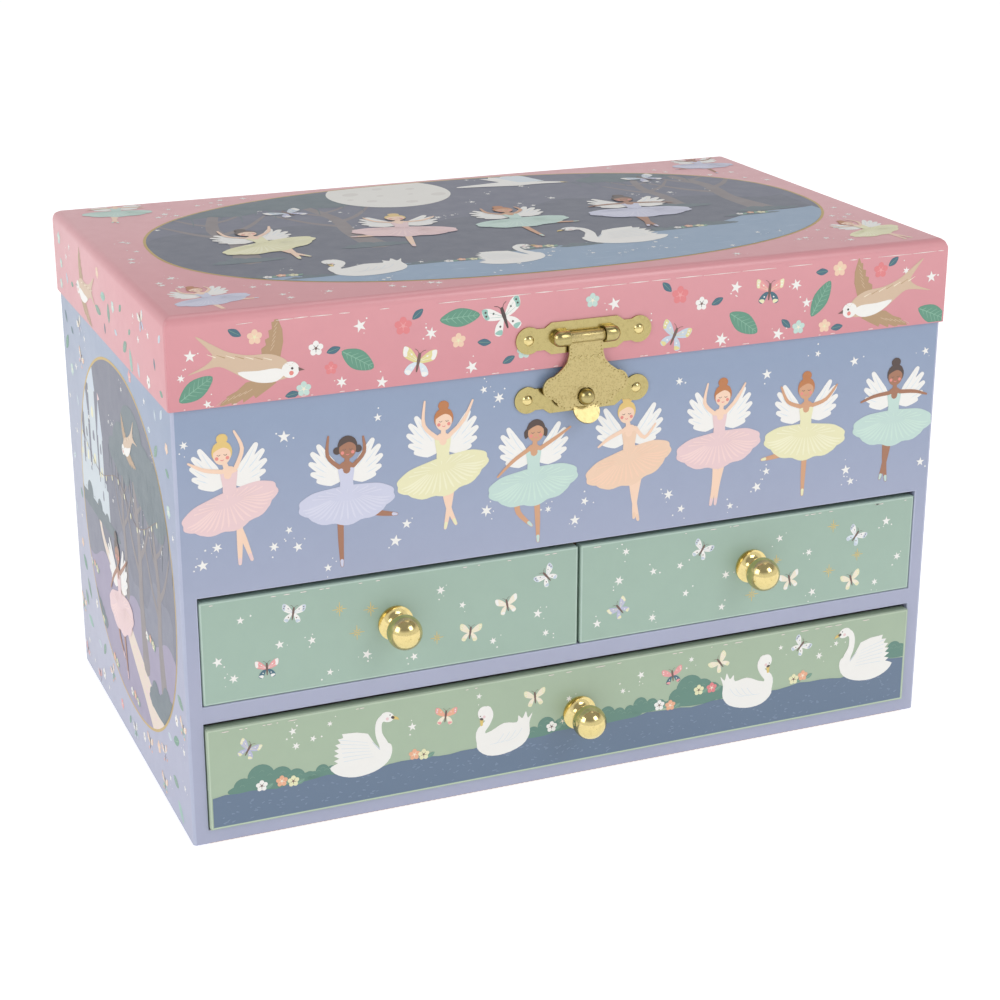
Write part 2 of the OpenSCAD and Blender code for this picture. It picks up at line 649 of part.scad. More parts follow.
module great_wheel() color(brass) difference() {
    union() {
        wheel(wind_x, [yb(24), yb(21.5)], great_n, great_r, 0.78, 180);
        rody(wind_x, mz, [yb(25.5), yb(20)], 3);
    }
    rody(wind_x, mz, [yb(30), yb(18)], wind_r + run_fit);
}
module cylinder_arbor() color(brass) {
    rody(0, mz, [yb(62), yb(17.5)], arbor_r);
    wheel(0, [yb(25), yb(20.5)], pinion_n, pin_r, 0.78, 180 / pinion_n);
    wheel(0, [yb(32), yb(30)], brake_n, brake_r, 0.78, 180);
    rody(0, mz, [yb(60), yb(58.5)], peg_ring + 1);
    for (i = [0 : peg_n - 1]) {
        p = pol(peg_ring, (i + 0.5) * 360 / peg_n);
        rody(p[0], mz + p[1], [yb(63.4), yb(59.5)], 0.4);
    }
}
module cylinder_drum() color(brass) difference() {
    union() {
        rody(0, mz, [yb(54), yb(35)], drum_r);
        // pins, spread by a fixed step so that no two share a place
        for (i = [0 : 50]) translate([0, yb(52.65) + (i * 5 % 17), mz]) rotate([0, i * 137.5, 0])
            translate([0, 0, drum_r - 0.5]) cylinder(h = pin_up + 0.5, r = 0.22, $fn = 16);
    }
    rody(0, mz, [yb(56), yb(33)], arbor_r + 0.02);
}
module air_brake() color(brass) {
    rody(fly_x, mz, [yb(33), yb(3)], fly_r);
    wheel(fly_x, [yb(32.5), yb(29.5)], fly_n, flyp_r, 0.74, 180 / fly_n);
    bx([fly_x - vane_r, fly_x + vane_r], [yb(16), yb(4)], [mz - 0.3, mz + 0.3]);
}
module stop_wire() color(steel) {
    rodz(stop_x, stop_y, [mz + 2, stop_tip - 0.8], 0.8);
    translate([stop_x, stop_y, stop_tip - 0.8]) sphere(0.8);
    translate([stop_x, stop_y, mz + 2]) sphere(0.8);
    rodx(stop_y, mz + 2, [stop_x, fly_x - vane_r - 1.1], 0.8);
}

// ---- dancer ----
module dancer_spindle() color(brass) {
    rodz(0, dancer_y, [z_floor + 0.3, disc_z + 0.5], spindle_r);
    rodz(0, dancer_y, [disc_z, disc_z + 1], 4);
    // pinion with narrow teeth that run between the pegs
    translate([0, dancer_y, mz + peg_ring - 2.2]) linear_extrude(4.2) {
        circle(crown_r - 0.9);
        for (i = [0 : crown_n - 1]) rotate(i * 360 / crown_n)
            translate([0, -0.35]) square([crown_r + 0.6, 0.7]);
    }
}
wire_r = 0.35;
ring_n = 80;
side_n = 8;
// one ring of the coil's tube
function ring(i) = let (a = i * 22.5, z = coil_z + wire_r + (coil_h - 2 * wire_r) * i / ring_n)
    [for (k = [0 : side_n - 1]) let (b = k * 360 / side_n, r = coil_r + wire_r * cos(b))
        [r * cos(a), dancer_y + r * sin(a), z + wire_r * sin(b)]];
module dancer_spring() color(steel) polyhedron(
    points = [for (i = [0 : ring_n]) each ring(i)],
    faces = concat(
        [[for (k = [0 : side_n - 1]) k]],
        [for (i = [0 : ring_n - 1], k = [0 : side_n - 1])
            [i * side_n + k, (i + 1) * side_n + k,
                (i + 1) * side_n + (k + 1) % side_n, i * side_n + (k + 1) % side_n]],
        [[for (k = [side_n - 1 : -1 : 0]) ring_n * side_n + k]]));
function q(a) = dancer_z + a * u;
module dancer_figure() color([0.93, 0.78, 0.7]) translate([0, dancer_y, 0]) {
    rodz(0, 0, [foot_z, dancer_z], 3.2);
    for (s = [-1, 1]) translate([s * 1.05 * u, 0, q(-0.2)])
        cylinder(h = 18.2 * u, r1 = 0.75 * u, r2 = 1.6 * u);
    translate([0, 0, q(17)]) cylinder(h = 4 * u, r1 = 2.6 * u, r2 = 1.8 * u);
    translate([0, 0, q(20.8)]) cylinder(h = 6.7 * u, r1 = 1.82 * u, r2 = 2.6 * u);
    translate([0, 0, q(27.4)]) sphere(2.55 * u);
    rodz(0, 0, [q(27), q(31.5)], 0.95 * u);
    translate([0, 0, q(33)]) sphere(2.7 * u);
    translate([0, 0.4 * u, q(36.2)]) sphere(1.4 * u);
    // arms raised in a ring over the head
    intersection() {
        translate([0, 0, q(33.34)]) rotate([90, 0, 0])
            rotate_extrude() translate([6.56 * u, 0]) circle(0.75 * u);
        bx([-9 * u, 9 * u], [-2 * u, 2 * u], [q(27.5), q(41.4)]);
    }
}
module dancer_tutu() color([0.95, 0.78, 0.84]) translate([0, dancer_y, 0])
    rotate_extrude() polygon([[2.8 * u, q(17.6)], [9.5 * u, q(16.4)], [9.9 * u, q(17)], [9.5 * u, q(17.6)],
        [2.8 * u, q(19.6)]]);

base_board();
left_side_board();
right_side_board();
back_board();
front_apron();
middle_shelf();
drawer_divider();
tray_floor();
tray_partitions();
tray_felt();
ring_rolls();
stage_board();
hinge_leaves_case();
hinge_pins();
case_nails();
catch_plate();
catch_stud();
movement_bed();
comb();
movement_screws();
spring_housing();
mainspring();
lid_top_board();
lid_front_board();
lid_back_board();
lid_side_boards();
mirror();
mirror_frame();
hinge_leaves_lid();
lid_nails();
clasp_plate();
clasp_pin();
clasp_flap();
left_drawer_front();
left_drawer_walls();
left_drawer_bottom();
left_drawer_knob();
left_drawer_screw();
right_drawer_front();
right_drawer_walls();
right_drawer_bottom();
right_drawer_knob();
right_drawer_screw();
low_drawer_front();
low_drawer_walls();
low_drawer_bottom();
low_drawer_knob();
low_drawer_screw();
winding_key();
winding_arbor();
great_wheel();
cylinder_arbor();
cylinder_drum();
air_brake();
dancer_spindle();
dancer_spring();
dancer_figure();
dancer_tutu();
stop_wire();
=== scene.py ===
"""The looks of a musical jewellery box: printed papers, brass fittings, the lined tray, its ring rolls, the dancer."""
import math
import random

import bmesh
import bpy
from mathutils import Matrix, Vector


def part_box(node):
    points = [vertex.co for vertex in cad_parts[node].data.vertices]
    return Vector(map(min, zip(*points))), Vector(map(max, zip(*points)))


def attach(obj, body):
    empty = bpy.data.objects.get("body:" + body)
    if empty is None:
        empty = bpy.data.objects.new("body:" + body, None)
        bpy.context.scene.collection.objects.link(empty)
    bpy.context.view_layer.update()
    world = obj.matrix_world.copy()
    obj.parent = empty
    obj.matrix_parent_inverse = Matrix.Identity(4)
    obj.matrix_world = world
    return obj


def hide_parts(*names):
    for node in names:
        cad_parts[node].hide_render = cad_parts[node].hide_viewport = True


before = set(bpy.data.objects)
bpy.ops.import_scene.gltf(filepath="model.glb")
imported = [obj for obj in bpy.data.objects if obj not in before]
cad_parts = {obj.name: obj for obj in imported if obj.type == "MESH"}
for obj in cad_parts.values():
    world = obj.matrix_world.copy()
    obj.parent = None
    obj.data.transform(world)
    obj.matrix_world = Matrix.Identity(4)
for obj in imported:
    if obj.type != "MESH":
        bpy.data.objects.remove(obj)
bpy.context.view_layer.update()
MM = 0.001


# ---------------------------------------------------------------- hand tools
def leave_all():
    if bpy.context.mode != "OBJECT":
        bpy.ops.object.mode_set(mode="OBJECT")
    bpy.ops.object.select_all(action="DESELECT")


def take(*pieces):
    leave_all()
    for piece in pieces:
        piece.select_set(True)
    bpy.context.view_layer.objects.active = pieces[0]


def settle(piece, name=None):
    """The piece's place goes into its mesh, and its object stays at the origin."""
    take(piece)
    bpy.ops.object.transform_apply(location=True, rotation=True, scale=True)
    if name:
        piece.name = piece.data.name = name
    return piece


def block(name, low, high):
    """A plain block between two corners, in millimetres, to be shaped further."""
    leave_all()
    low, high = Vector(low) * MM, Vector(high) * MM
    bpy.ops.mesh.primitive_cube_add(size=1, location=(low + high) / 2)
    bpy.context.object.scale = high - low
    return settle(bpy.context.object, name)


def edit(piece, kind="FACE"):
    take(piece)
    bpy.ops.object.mode_set(mode="EDIT")
    bpy.ops.mesh.select_mode(type=kind)
    bpy.ops.mesh.select_all(action="DESELECT")


def choose(piece, kind, test):
    """Selects the faces, edges or corners whose place in millimetres and whose direction pass the test."""
    edit(piece, kind)
    shape = bmesh.from_edit_mesh(piece.data)
    if kind == "FACE":
        for face in shape.faces:
            face.select_set(bool(test(face.calc_center_median() / MM, face.normal)))
    elif kind == "EDGE":
        for edge in shape.edges:
            a, b = edge.verts[0].co / MM, edge.verts[1].co / MM
            edge.select_set(bool(test((a + b) / 2, (b - a).normalized())))
    else:
        for corner in shape.verts:
            corner.select_set(bool(test(corner.co / MM, corner.normal)))
    bmesh.update_edit_mesh(piece.data)


def cut_away(piece, test, kind="FACE"):
    choose(piece, kind, test)
    bpy.ops.mesh.delete(type=kind if kind != "VERT" else "VERT")
    leave_all()


def round_edges(piece, test, width, segments=3, wear_and_highlight_slot=-1):
    choose(piece, "EDGE", test)
    # the new rounded faces can take the lighter edge paper: partly rubbed paper, partly a painted highlight along the
    # edge
    bpy.ops.mesh.bevel(offset=width * MM, segments=segments, profile=0.5, material=wear_and_highlight_slot, affect="EDGES")
    leave_all()


def worked(piece, kind, **settings):
    """Puts a modifier on the piece and applies it."""
    take(piece)
    modifier = piece.modifiers.new(kind.title(), kind)
    for key, value in settings.items():
        setattr(modifier, key, value)
    bpy.ops.object.modifier_apply(modifier=modifier.name)
    return piece


def smooth(piece, angle=None):
    take(piece)
    if angle is None:
        bpy.ops.object.shade_smooth()
    else:
        bpy.ops.object.shade_smooth_by_angle(angle=math.radians(angle))
    return piece


def joined(name, pieces):
    take(*pieces)
    if len(pieces) > 1:
        bpy.ops.object.join()
    piece = bpy.context.object
    piece.name = piece.data.name = name
    return piece


def copied(piece, name, move=(0, 0, 0)):
    take(piece)
    bpy.ops.object.duplicate(linked=False)
    twin = bpy.context.object
    twin.location = Vector(move) * MM
    return settle(twin, name)


def finish_with(piece, *materials):
    """Gives a piece its finishes, and leaves which face has which as it is."""
    for number, material in enumerate(materials):
        if number < len(piece.data.materials):
            piece.data.materials[number] = material
        else:
            piece.data.materials.append(material)
    return piece


def place_on(piece, body, slot, *materials):
    if materials:
        finish_with(piece, *materials)
    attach(piece, body)
    return piece


# ---------------------------------------------------------------- finishes
def tint(red, green, blue):
    """A colour as a paint card gives it, 0 to 255, made linear."""
    return tuple((c / 255 / 12.92 if c < 11 else ((c / 255 + 0.055) / 1.055) ** 2.4) for c in (red, green,
        blue)) + (1,)


def effect(name, inputs, outputs):
    """A new shader group: inputs are (name, kind, value), outputs are (name, kind)."""
    group = bpy.data.node_groups.new(name, "ShaderNodeTree")
    for label, kind, value in inputs:
        socket = group.interface.new_socket(name=label, in_out="INPUT", socket_type="NodeSocket" + kind)
        socket.default_value = value
    for label, kind in outputs:
        group.interface.new_socket(name=label, in_out="OUTPUT", socket_type="NodeSocket" + kind)
    return group, group.nodes.new("NodeGroupInput"), group.nodes.new("NodeGroupOutput")


def node(tree, kind, links=(), **settings):
    """A node with its settings, its values and its links: links and values are by socket name or number."""
    made = tree.nodes.new("ShaderNode" + kind)
    values = settings.pop("values", {})
    for key, value in settings.items():
        setattr(made, key, value)
    for key, value in values.items():
        made.inputs[key].default_value = value
    for key, source in dict(links).items():
        tree.links.new(source, made.inputs[key])
    return made


def ramp(tree, source, *stops):
    """A colour ramp over (position, value or colour) stops."""
    made = node(tree, "ValToRGB", {"Fac": source})
    bar = made.color_ramp
    while len(bar.elements) < len(stops):
        bar.elements.new(0.5)
    for element, (where, value) in zip(bar.elements, stops):
        element.position = where
        element.color = value if hasattr(value, "__len__") else (value, value, value, 1)
    return made.outputs["Color"]


def span(tree, source, low, high):
    """Maps a value of 0 to 1 to low to high."""
    return node(tree, "MapRange", {"Value": source}, values={"To Min": low, "To Max": high}).outputs["Result"]


def blended(tree, share, first, second, kind="MIX"):
    """Mixes two colours; each is a colour or an output."""
    made = node(tree, "MixRGB", blend_type=kind)
    for key, value in (("Fac", share), ("Color1", first), ("Color2", second)):
        if isinstance(value, bpy.types.NodeSocket):
            tree.links.new(value, made.inputs[key])
        else:
            made.inputs[key].default_value = value
    return made.outputs["Color"]


def material(name, rough=0.5, metal=0.0, **values):
    """A material with its one Principled shader, and the Object coordinates to work from."""
    made = bpy.data.materials.new(name)
    made.use_nodes = True
    tree = made.node_tree
    shader = tree.nodes["Principled BSDF"]
    shader.inputs["Roughness"].default_value = rough
    shader.inputs["Metallic"].default_value = metal
    for key, value in values.items():
        shader.inputs[key.replace("_", " ")].default_value = value
    place = node(tree, "TexCoord").outputs["Object"]
    return made, tree, shader, place


def raised(tree, shader, height, depth, strength=1.0):
    """A bump of depth millimetres from a height of 0 to 1."""
    bump = node(tree, "Bump", {"Height": height}, values={"Strength": strength, "Distance": depth * MM})
    tree.links.new(bump.outputs["Normal"], shader.inputs["Normal"])


def grouped(tree, group, place, **values):
    made = tree.nodes.new("ShaderNodeGroup")
    made.node_tree = group
    tree.links.new(place, made.inputs["Place"])
    for key, value in values.items():
        made.inputs[key].default_value = value
    return made.outputs


def build_paper_tooth():
    """The tooth of coated paper over board: a fine fibre, a slow swell of the glue, a soft mottle of the print."""
    group, given, out = effect(
        "paper_tooth",
        [("Place", "Vector", (0, 0, 0)), ("Fibre", "Float", 900.0), ("Swell", "Float", 45.0)],
        [("Height", "Float"), ("Mottle", "Float")],
    )
    place = given.outputs["Place"]
    fine = node(group, "TexNoise", {"Vector": place, "Scale": given.outputs["Fibre"]},
        values={"Detail": 3.0, "Roughness": 0.6})
    slow = node(group, "TexNoise", {"Vector": place, "Scale": given.outputs["Swell"]}, values={"Detail": 2.0})
    height = node(group, "Math", {0: slow.outputs["Fac"], 1: fine.outputs["Fac"]}, operation="MULTIPLY_ADD")
    group.links.new(fine.outputs["Fac"], height.inputs[2])
    print_noise = node(group, "TexNoise", {"Vector": place},
        values={"Scale": 160.0, "Detail": 4.0, "Roughness": 0.65})
    group.links.new(height.outputs[0], out.inputs["Height"])
    group.links.new(print_noise.outputs["Fac"], out.inputs["Mottle"])
    return group


def build_handling():
    """Smudges, fine rubs and dull spots that handling leaves on polished metal."""
    group, given, out = effect(
        "handling", [("Place", "Vector", (0, 0, 0)), ("Size", "Float", 260.0)],
        [("Smudge", "Float"), ("Rub", "Float"), ("Tarnish", "Float")]
    )
    place = given.outputs["Place"]
    smudge = node(group, "TexNoise", {"Vector": place, "Scale": given.outputs["Size"]},
        values={"Detail": 5.0, "Roughness": 0.7})
    stretched = node(group, "Mapping", {"Vector": place}, values={"Scale": (0.25, 1.0, 3.0)})
    rub = node(group, "TexNoise", {"Vector": stretched.outputs[0]}, values={"Scale": 2600.0, "Detail": 2.0})
    spots = node(group, "TexNoise", {"Vector": place}, values={"Scale": 700.0, "Detail": 6.0, "Roughness": 0.75})
    group.links.new(smudge.outputs["Fac"], out.inputs["Smudge"])
    group.links.new(rub.outputs["Fac"], out.inputs["Rub"])
    group.links.new(ramp(group, spots.outputs["Fac"], (0.5, 0.0), (0.8, 1.0)), out.inputs["Tarnish"])
    return group


def build_pile():
    """The short pile of felt or velvet: matted fibres and the lighter strokes where it has been brushed."""
    group, given, out = effect(
        "pile", [("Place", "Vector", (0, 0, 0)), ("Fibre", "Float", 2200.0)],
        [("Height", "Float"), ("Brushed", "Float"), ("Fleck", "Float")]
    )
    place = given.outputs["Place"]
    warped = node(group, "TexNoise", {"Vector": place}, values={"Scale": 300.0, "Detail": 3.0})
    fibre = node(group, "TexNoise", {"Vector": place, "Scale": given.outputs["Fibre"]},
        values={"Detail": 4.0, "Roughness": 0.7, "Distortion": 1.5})
    mixed = node(group, "Math", {0: warped.outputs["Fac"], 1: fibre.outputs["Fac"]}, operation="ADD")
    brushed = node(group, "TexNoise", {"Vector": place}, values={"Scale": 70.0, "Detail": 3.0, "Distortion": 0.6})
    group.links.new(mixed.outputs[0], out.inputs["Height"])
    group.links.new(brushed.outputs["Fac"], out.inputs["Brushed"])
    group.links.new(fibre.outputs["Fac"], out.inputs["Fleck"])
    return group


def build_chip():
    """The pressed chips and fibres of raw fibreboard."""
    group, given, out = effect("board_chip", [("Place", "Vector", (0, 0, 0)), ("Size", "Float", 900.0)],
        [("Height", "Float"), ("Tone", "Float")])
    long_way = node(group, "Mapping", {"Vector": given.outputs["Place"]}, values={"Scale": (0.3, 1.0, 1.0)})
    chips = node(group, "TexVoronoi", {"Vector": long_way.outputs[0], "Scale": given.outputs["Size"]}, feature="F1")
    fibres = node(group, "TexNoise", {"Vector": long_way.outputs[0]},
        values={"Scale": 1500.0, "Detail": 5.0, "Roughness": 0.7})
    tone = node(group, "Math", {0: chips.outputs["Distance"], 1: fibres.outputs["Fac"]}, operation="MULTIPLY")
    group.links.new(fibres.outputs["Fac"], out.inputs["Height"])
    group.links.new(tone.outputs[0], out.inputs["Tone"])
    return group


PAPER_TOOTH, HANDLING, PILE, CHIP = build_paper_tooth(), build_handling(), build_pile(), build_chip()


def paper(name, colour, rough=0.42, fade=None, mottle=0.07, tooth=0.02):
    """Printed paper glued over board. fade is a second colour and the two heights, in mm, that it runs between."""
    made, tree, shader, place = material(name, rough, Specular_IOR_Level=0.75)
    grain = grouped(tree, PAPER_TOOTH, place)
    base = tint(*colour)
    if fade:
        other, start, stop = fade
        height = node(tree, "SeparateXYZ", {0: place}).outputs["Z"]
        run = node(tree, "MapRange", {"Value": height}, values={"From Min": start * MM, "From Max": stop * MM})
        base = blended(tree, run.outputs["Result"], tint(*other), base)
    dark = blended(tree, 1.0, base, (1 - mottle, 1 - mottle, 1 - mottle * 0.8, 1), "MULTIPLY")
    tree.links.new(blended(tree, grain["Mottle"], base, dark), shader.inputs["Base Color"])
    tree.links.new(span(tree, grain["Mottle"], rough - 0.06, rough + 0.06), shader.inputs["Roughness"])
    raised(tree, shader, grain["Height"], tooth)
    return made


def ink(name, colour, rough=0.42, metal=0.0, tooth=0.02):
    """A printed ink: one flat colour, with the tooth and the uneven gloss of the paper below."""
    made, tree, shader, place = material(name, rough, metal, Specular_IOR_Level=0.75)
    grain = grouped(tree, PAPER_TOOTH, place)
    shader.inputs["Base Color"].default_value = tint(*colour)
    tree.links.new(span(tree, grain["Mottle"], rough - 0.06, rough + 0.08), shader.inputs["Roughness"])
    raised(tree, shader, grain["Height"], tooth)
    return made


def polished_metal(name, colour, dull, rough=0.14, rub=0.003, size=260.0):
    """Bright metal with smudges, fine rubs and a little tarnish."""
    made, tree, shader, place = material(name, rough, 1.0)
    wear = grouped(tree, HANDLING, place, Size=size)
    shade = blended(tree, wear["Tarnish"], tint(*colour), tint(*dull))
    tree.links.new(shade, shader.inputs["Base Color"])
    tree.links.new(span(tree, wear["Smudge"], rough * 0.5, rough * 1.7), shader.inputs["Roughness"])
    raised(tree, shader, wear["Rub"], rub)
    return made


def stippled_metal(name, colour, dull):
    """Brass struck all over with a pointed punch."""
    made, tree, shader, place = material(name, 0.3, 1.0)
    wear = grouped(tree, HANDLING, place, Size=400.0)
    punch = node(tree, "TexVoronoi", {"Vector": place}, feature="F1", values={"Scale": 1500.0, "Randomness": 0.9})
    # the finger tab, below 137.6 mm, is left plain
    plain = node(tree, "Math", {0: node(tree, "SeparateXYZ", {0: place}).outputs["Z"]}, operation="LESS_THAN",
        values={1: 137.6 * MM})
    struck = ramp(tree, punch.outputs["Distance"], (0.0, 0.0), (0.45, 1.0))
    pit = node(tree, "Math", {0: struck, 1: plain.outputs[0]}, operation="MAXIMUM").outputs[0]
    shade = blended(tree, wear["Tarnish"], tint(*colour), tint(*dull))
    tree.links.new(blended(tree, pit, blended(tree, 1.0, shade, (0.72, 0.7, 0.62, 1), "MULTIPLY"), shade),
        shader.inputs["Base Color"])
    tree.links.new(span(tree, wear["Smudge"], 0.26, 0.42), shader.inputs["Roughness"])
    raised(tree, shader, pit, 0.09)
    return made


def napped_cloth(name, colour, light, fibre=2200.0, depth=0.25, sheen=0.6):
    made, tree, shader, place = material(name, 0.92, Sheen_Weight=sheen, Sheen_Roughness=0.5, Specular_IOR_Level=0.25)
    shader.inputs["Sheen Tint"].default_value = tint(*light)
    nap = grouped(tree, PILE, place, Fibre=fibre)
    tone = blended(tree, nap["Brushed"], tint(*colour), tint(*light))
    tree.links.new(blended(tree, nap["Fleck"], blended(tree, 1.0, tone, (0.74, 0.72, 0.74, 1), "MULTIPLY"), tone),
        shader.inputs["Base Color"])
    tree.links.new(span(tree, nap["Fleck"], 0.85, 1.0), shader.inputs["Roughness"])
    raised(tree, shader, nap["Height"], depth)
    return made


def raw_board(name, colour, dark):
    made, tree, shader, place = material(name, 0.8, Specular_IOR_Level=0.3)
    chip = grouped(tree, CHIP, place)
    tree.links.new(blended(tree, chip["Tone"], tint(*dark), tint(*colour)), shader.inputs["Base Color"])
    tree.links.new(span(tree, chip["Tone"], 0.7, 0.9), shader.inputs["Roughness"])
    raised(tree, shader, chip["Height"], 0.05)
    return made


def silvered_glass(name):
    made, tree, shader, place = material(name, 0.02, 1.0)
    wear = grouped(tree, HANDLING, place, Size=60.0)
    tree.links.new(blended(tree, wear["Smudge"], tint(238, 242, 243), tint(226, 232, 234)),
        shader.inputs["Base Color"])
    tree.links.new(span(tree, wear["Smudge"], 0.01, 0.05), shader.inputs["Roughness"])
    return made


def moulded(name, colour, rough=0.45, warm=None, sheen=0.0):
    """Painted moulded plastic, with the faint orange peel of the spray."""
    made, tree, shader, place = material(name, rough, Sheen_Weight=sheen, Subsurface_Weight=0.0)
    peel = node(tree, "TexNoise", {"Vector": place}, values={"Scale": 2500.0, "Detail": 2.0})
    blotch = node(tree, "TexNoise", {"Vector": place}, values={"Scale": 380.0, "Detail": 3.0})
    tree.links.new(blended(tree, blotch.outputs["Fac"], tint(*colour), tint(*(warm or [c * 0.93 for c in colour]))),
        shader.inputs["Base Color"])
    tree.links.new(span(tree, blotch.outputs["Fac"], rough - 0.08, rough + 0.08), shader.inputs["Roughness"])
    raised(tree, shader, peel.outputs["Fac"], 0.012)
    return made


def netting(name, colour):
    """Tulle: a fine open net that follows the piece's own UV map."""
    made, tree, shader, place = material(name, 0.6, Sheen_Weight=0.4)
    uv = node(tree, "TexCoord").outputs["UV"]
    holes = node(tree, "TexVoronoi", {"Vector": uv}, feature="DISTANCE_TO_EDGE", voronoi_dimensions="2D",
        values={"Scale": 190.0, "Randomness": 0.25})
    thread = ramp(tree, holes.outputs["Distance"], (0.10, 1.0), (0.22, 0.45))
    tree.links.new(thread, shader.inputs["Alpha"])
    shimmer = node(tree, "TexNoise", {"Vector": place}, values={"Scale": 900.0})
    tree.links.new(blended(tree, shimmer.outputs["Fac"], tint(*colour), tint(255, 246, 248)),
        shader.inputs["Base Color"])
    raised(tree, shader, holes.outputs["Distance"], 0.05)
    return made


LID_PINK, LID_DEEP = (214, 148, 154), (205, 134, 142)
FINISH = {
    "lid_paper": paper("lid_paper", LID_PINK, 0.33, fade=(LID_DEEP, 150, 182)),
    "case_paper": paper("case_paper", (134, 150, 177), 0.34, fade=((160, 164, 188), 60, 145)),
    "sage_paper": paper("sage_paper", (151, 176, 161), 0.38),
    "green_paper": paper("green_paper", (159, 178, 153), 0.38),
    # the edge papers are lighter than the sheets: partly paper rubbed pale, partly a painted highlight along the
    # rounded edges
    "worn_lid": paper("lid_edge_rubbed", (226, 176, 180), 0.5, mottle=0.16),
    "worn_case": paper("case_edge_wear_and_highlight", (176, 182, 204), 0.5, mottle=0.16),
    "worn_sage": paper("sage_edge_wear_and_highlight", (178, 200, 187), 0.5, mottle=0.16),
    "worn_green": paper("green_edge_wear_and_highlight", (184, 200, 176), 0.5, mottle=0.16),
    "lining_paper": paper("lining_paper", (233, 190, 196), 0.55, mottle=0.1, tooth=0.03),
    "fibreboard": raw_board("fibreboard", (186, 150, 112), (150, 114, 80)),
    "felt": napped_cloth("felt", (206, 136, 150), (232, 178, 188)),
    "roll_fabric": napped_cloth("roll_velvet", (196, 122, 142), (236, 180, 192), fibre=3200.0, depth=0.14, sheen=0.9),
    "brass": polished_metal("polished_brass", (222, 204, 144), (204, 184, 122)),
    # the plates and the flap take darker copies of the brass colour: painted shade, standing in for their darker
    # reflections
    "brass_plate": polished_metal("plate_brass_painted_shade", (180, 166, 114), (158, 143, 94), 0.2),
    "brass_flap": stippled_metal("stippled_brass_painted_shade", (190, 174, 124), (170, 152, 102)),
    "steel": polished_metal("bright_steel", (196, 197, 200), (150, 150, 152), 0.26, 0.004),
    "spring_steel": polished_metal("blued_steel", (112, 122, 150), (84, 88, 104), 0.3, 0.004),
    "cast_metal": polished_metal("machined_casting", (176, 176, 172), (140, 140, 138), 0.42, 0.012, 120.0),
    "mirror": silvered_glass("silvered_glass"),
    "skin": moulded("skin_paint", (240, 205, 184), 0.42, (232, 190, 168)),
    "tulle": netting("tulle", (250, 214, 224)),
    "satin": moulded("satin_paint", (238, 176, 190), 0.3, (226, 156, 174), 0.3),
    "hair": moulded("hair_paint", (96, 64, 44), 0.4, (78, 50, 34)),
    "rouge": moulded("lip_paint", (206, 104, 104), 0.35),
    "piping": napped_cloth("roll_piping", (226, 168, 182), (244, 204, 212), fibre=3600.0, depth=0.06, sheen=0.5),
}

# ---------------------------------------------------------------- CAD nodes keep their shape and take these finishes
for name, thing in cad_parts.items():
    for place in thing.material_slots:
        base = place.material.name.split(".")[0] if place.material else "brass"
        place.material = FINISH.get(base, FINISH["brass"])
# the hasp's plates, stud and flap take the darker brass, whose colour holds painted shade
for name, finish in (
    ("clasp_flap", "brass_flap"), ("clasp_plate", "brass_plate"), ("catch_plate", "brass_plate"),
    ("catch_stud", "brass_plate"),
    ("left_drawer_walls", "sage_paper"), ("right_drawer_walls", "sage_paper"), ("low_drawer_walls", "green_paper"),
    ("left_drawer_bottom", "lining_paper"), ("right_drawer_bottom", "lining_paper"),
    ("low_drawer_bottom", "lining_paper"),
):
    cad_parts[name].material_slots[0].material = FINISH[finish]
# the stamped fittings get a little press rounding along their edges, so that the edges catch the light
for name in ("clasp_plate", "catch_plate", "clasp_flap"):
    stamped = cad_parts[name]
    stamped.modifiers.new("Weld", "WELD").merge_threshold = 0.002 * MM
    rounding = stamped.modifiers.new("Rounding", "BEVEL")
    rounding.width, rounding.segments = 0.14 * MM, 2
    rounding.limit_method, rounding.angle_limit = "ANGLE", math.radians(50)


# ---------------------------------------------------------------- paper wraps
CASE_X, CASE_Y, RIM = 140.0, 83.0, 152.0
LID_X, LID_Y, LID_TOP = 141.0, 84.0, 182.0
SKIN, PAPER, DRAWER_SKIN = 0.22, 0.2, 0.15
OPENINGS = ((5.07, 43.8), (50.07, 88.3))
OPENING_X = 134.8


def in_opening(at, slack=0.0):
    return abs(at.x) < OPENING_X + slack and any(low - slack < at.z < high + slack for low, high in OPENINGS)


def wrap_case():
    """One sheet of paper round the four sides, turned a little way into the drawer openings."""
    x, y = CASE_X + SKIN, CASE_Y + SKIN
    wrap = finish_with(block("case_wrap", (-x, -y, 0.2), (x, y, RIM - 0.05)), FINISH["case_paper"],
        FINISH["worn_case"])
    cut_away(wrap, lambda at, way: abs(way.z) > 0.9)
    cuts = [((side * OPENING_X * MM, 0, 0), (1, 0, 0)) for side in (-1, 1)]
    cuts += [((0, 0, level * MM), (0, 0, 1)) for pair in OPENINGS for level in pair]
    for where, across in cuts:
        choose(wrap, "FACE", lambda at, way: way.y < -0.9)
        bpy.ops.mesh.bisect(plane_co=where, plane_no=across)
        leave_all()
    cut_away(wrap, lambda at, way: way.y < -0.9 and in_opening(at))
    choose(wrap, "EDGE", lambda at, way: at.y < -y + 0.1 and in_opening(at, 0.1) and not in_opening(at, -0.1))
    bpy.ops.mesh.extrude_edges_move(TRANSFORM_OT_translate={"value": (0, 3.4 * MM, 0)})
    leave_all()
    # the turned-in and corner edges take the lighter edge paper: rubbed paper and a painted highlight
    round_edges(wrap, lambda at, way: at.y < -y + 0.1 and in_opening(at, 0.1) and not in_opening(at, -0.1), 0.45, 2,
        1)
    round_edges(wrap, lambda at, way: abs(way.z) > 0.9 and abs(abs(at.x) - x) < 0.1 and abs(abs(at.y) - y) < 0.1, 1.0,
        4, 1)
    worked(wrap, "SOLIDIFY", thickness=PAPER * MM, offset=-1)
    smooth(wrap, 40)
    return place_on(wrap, "case", "case_paper")


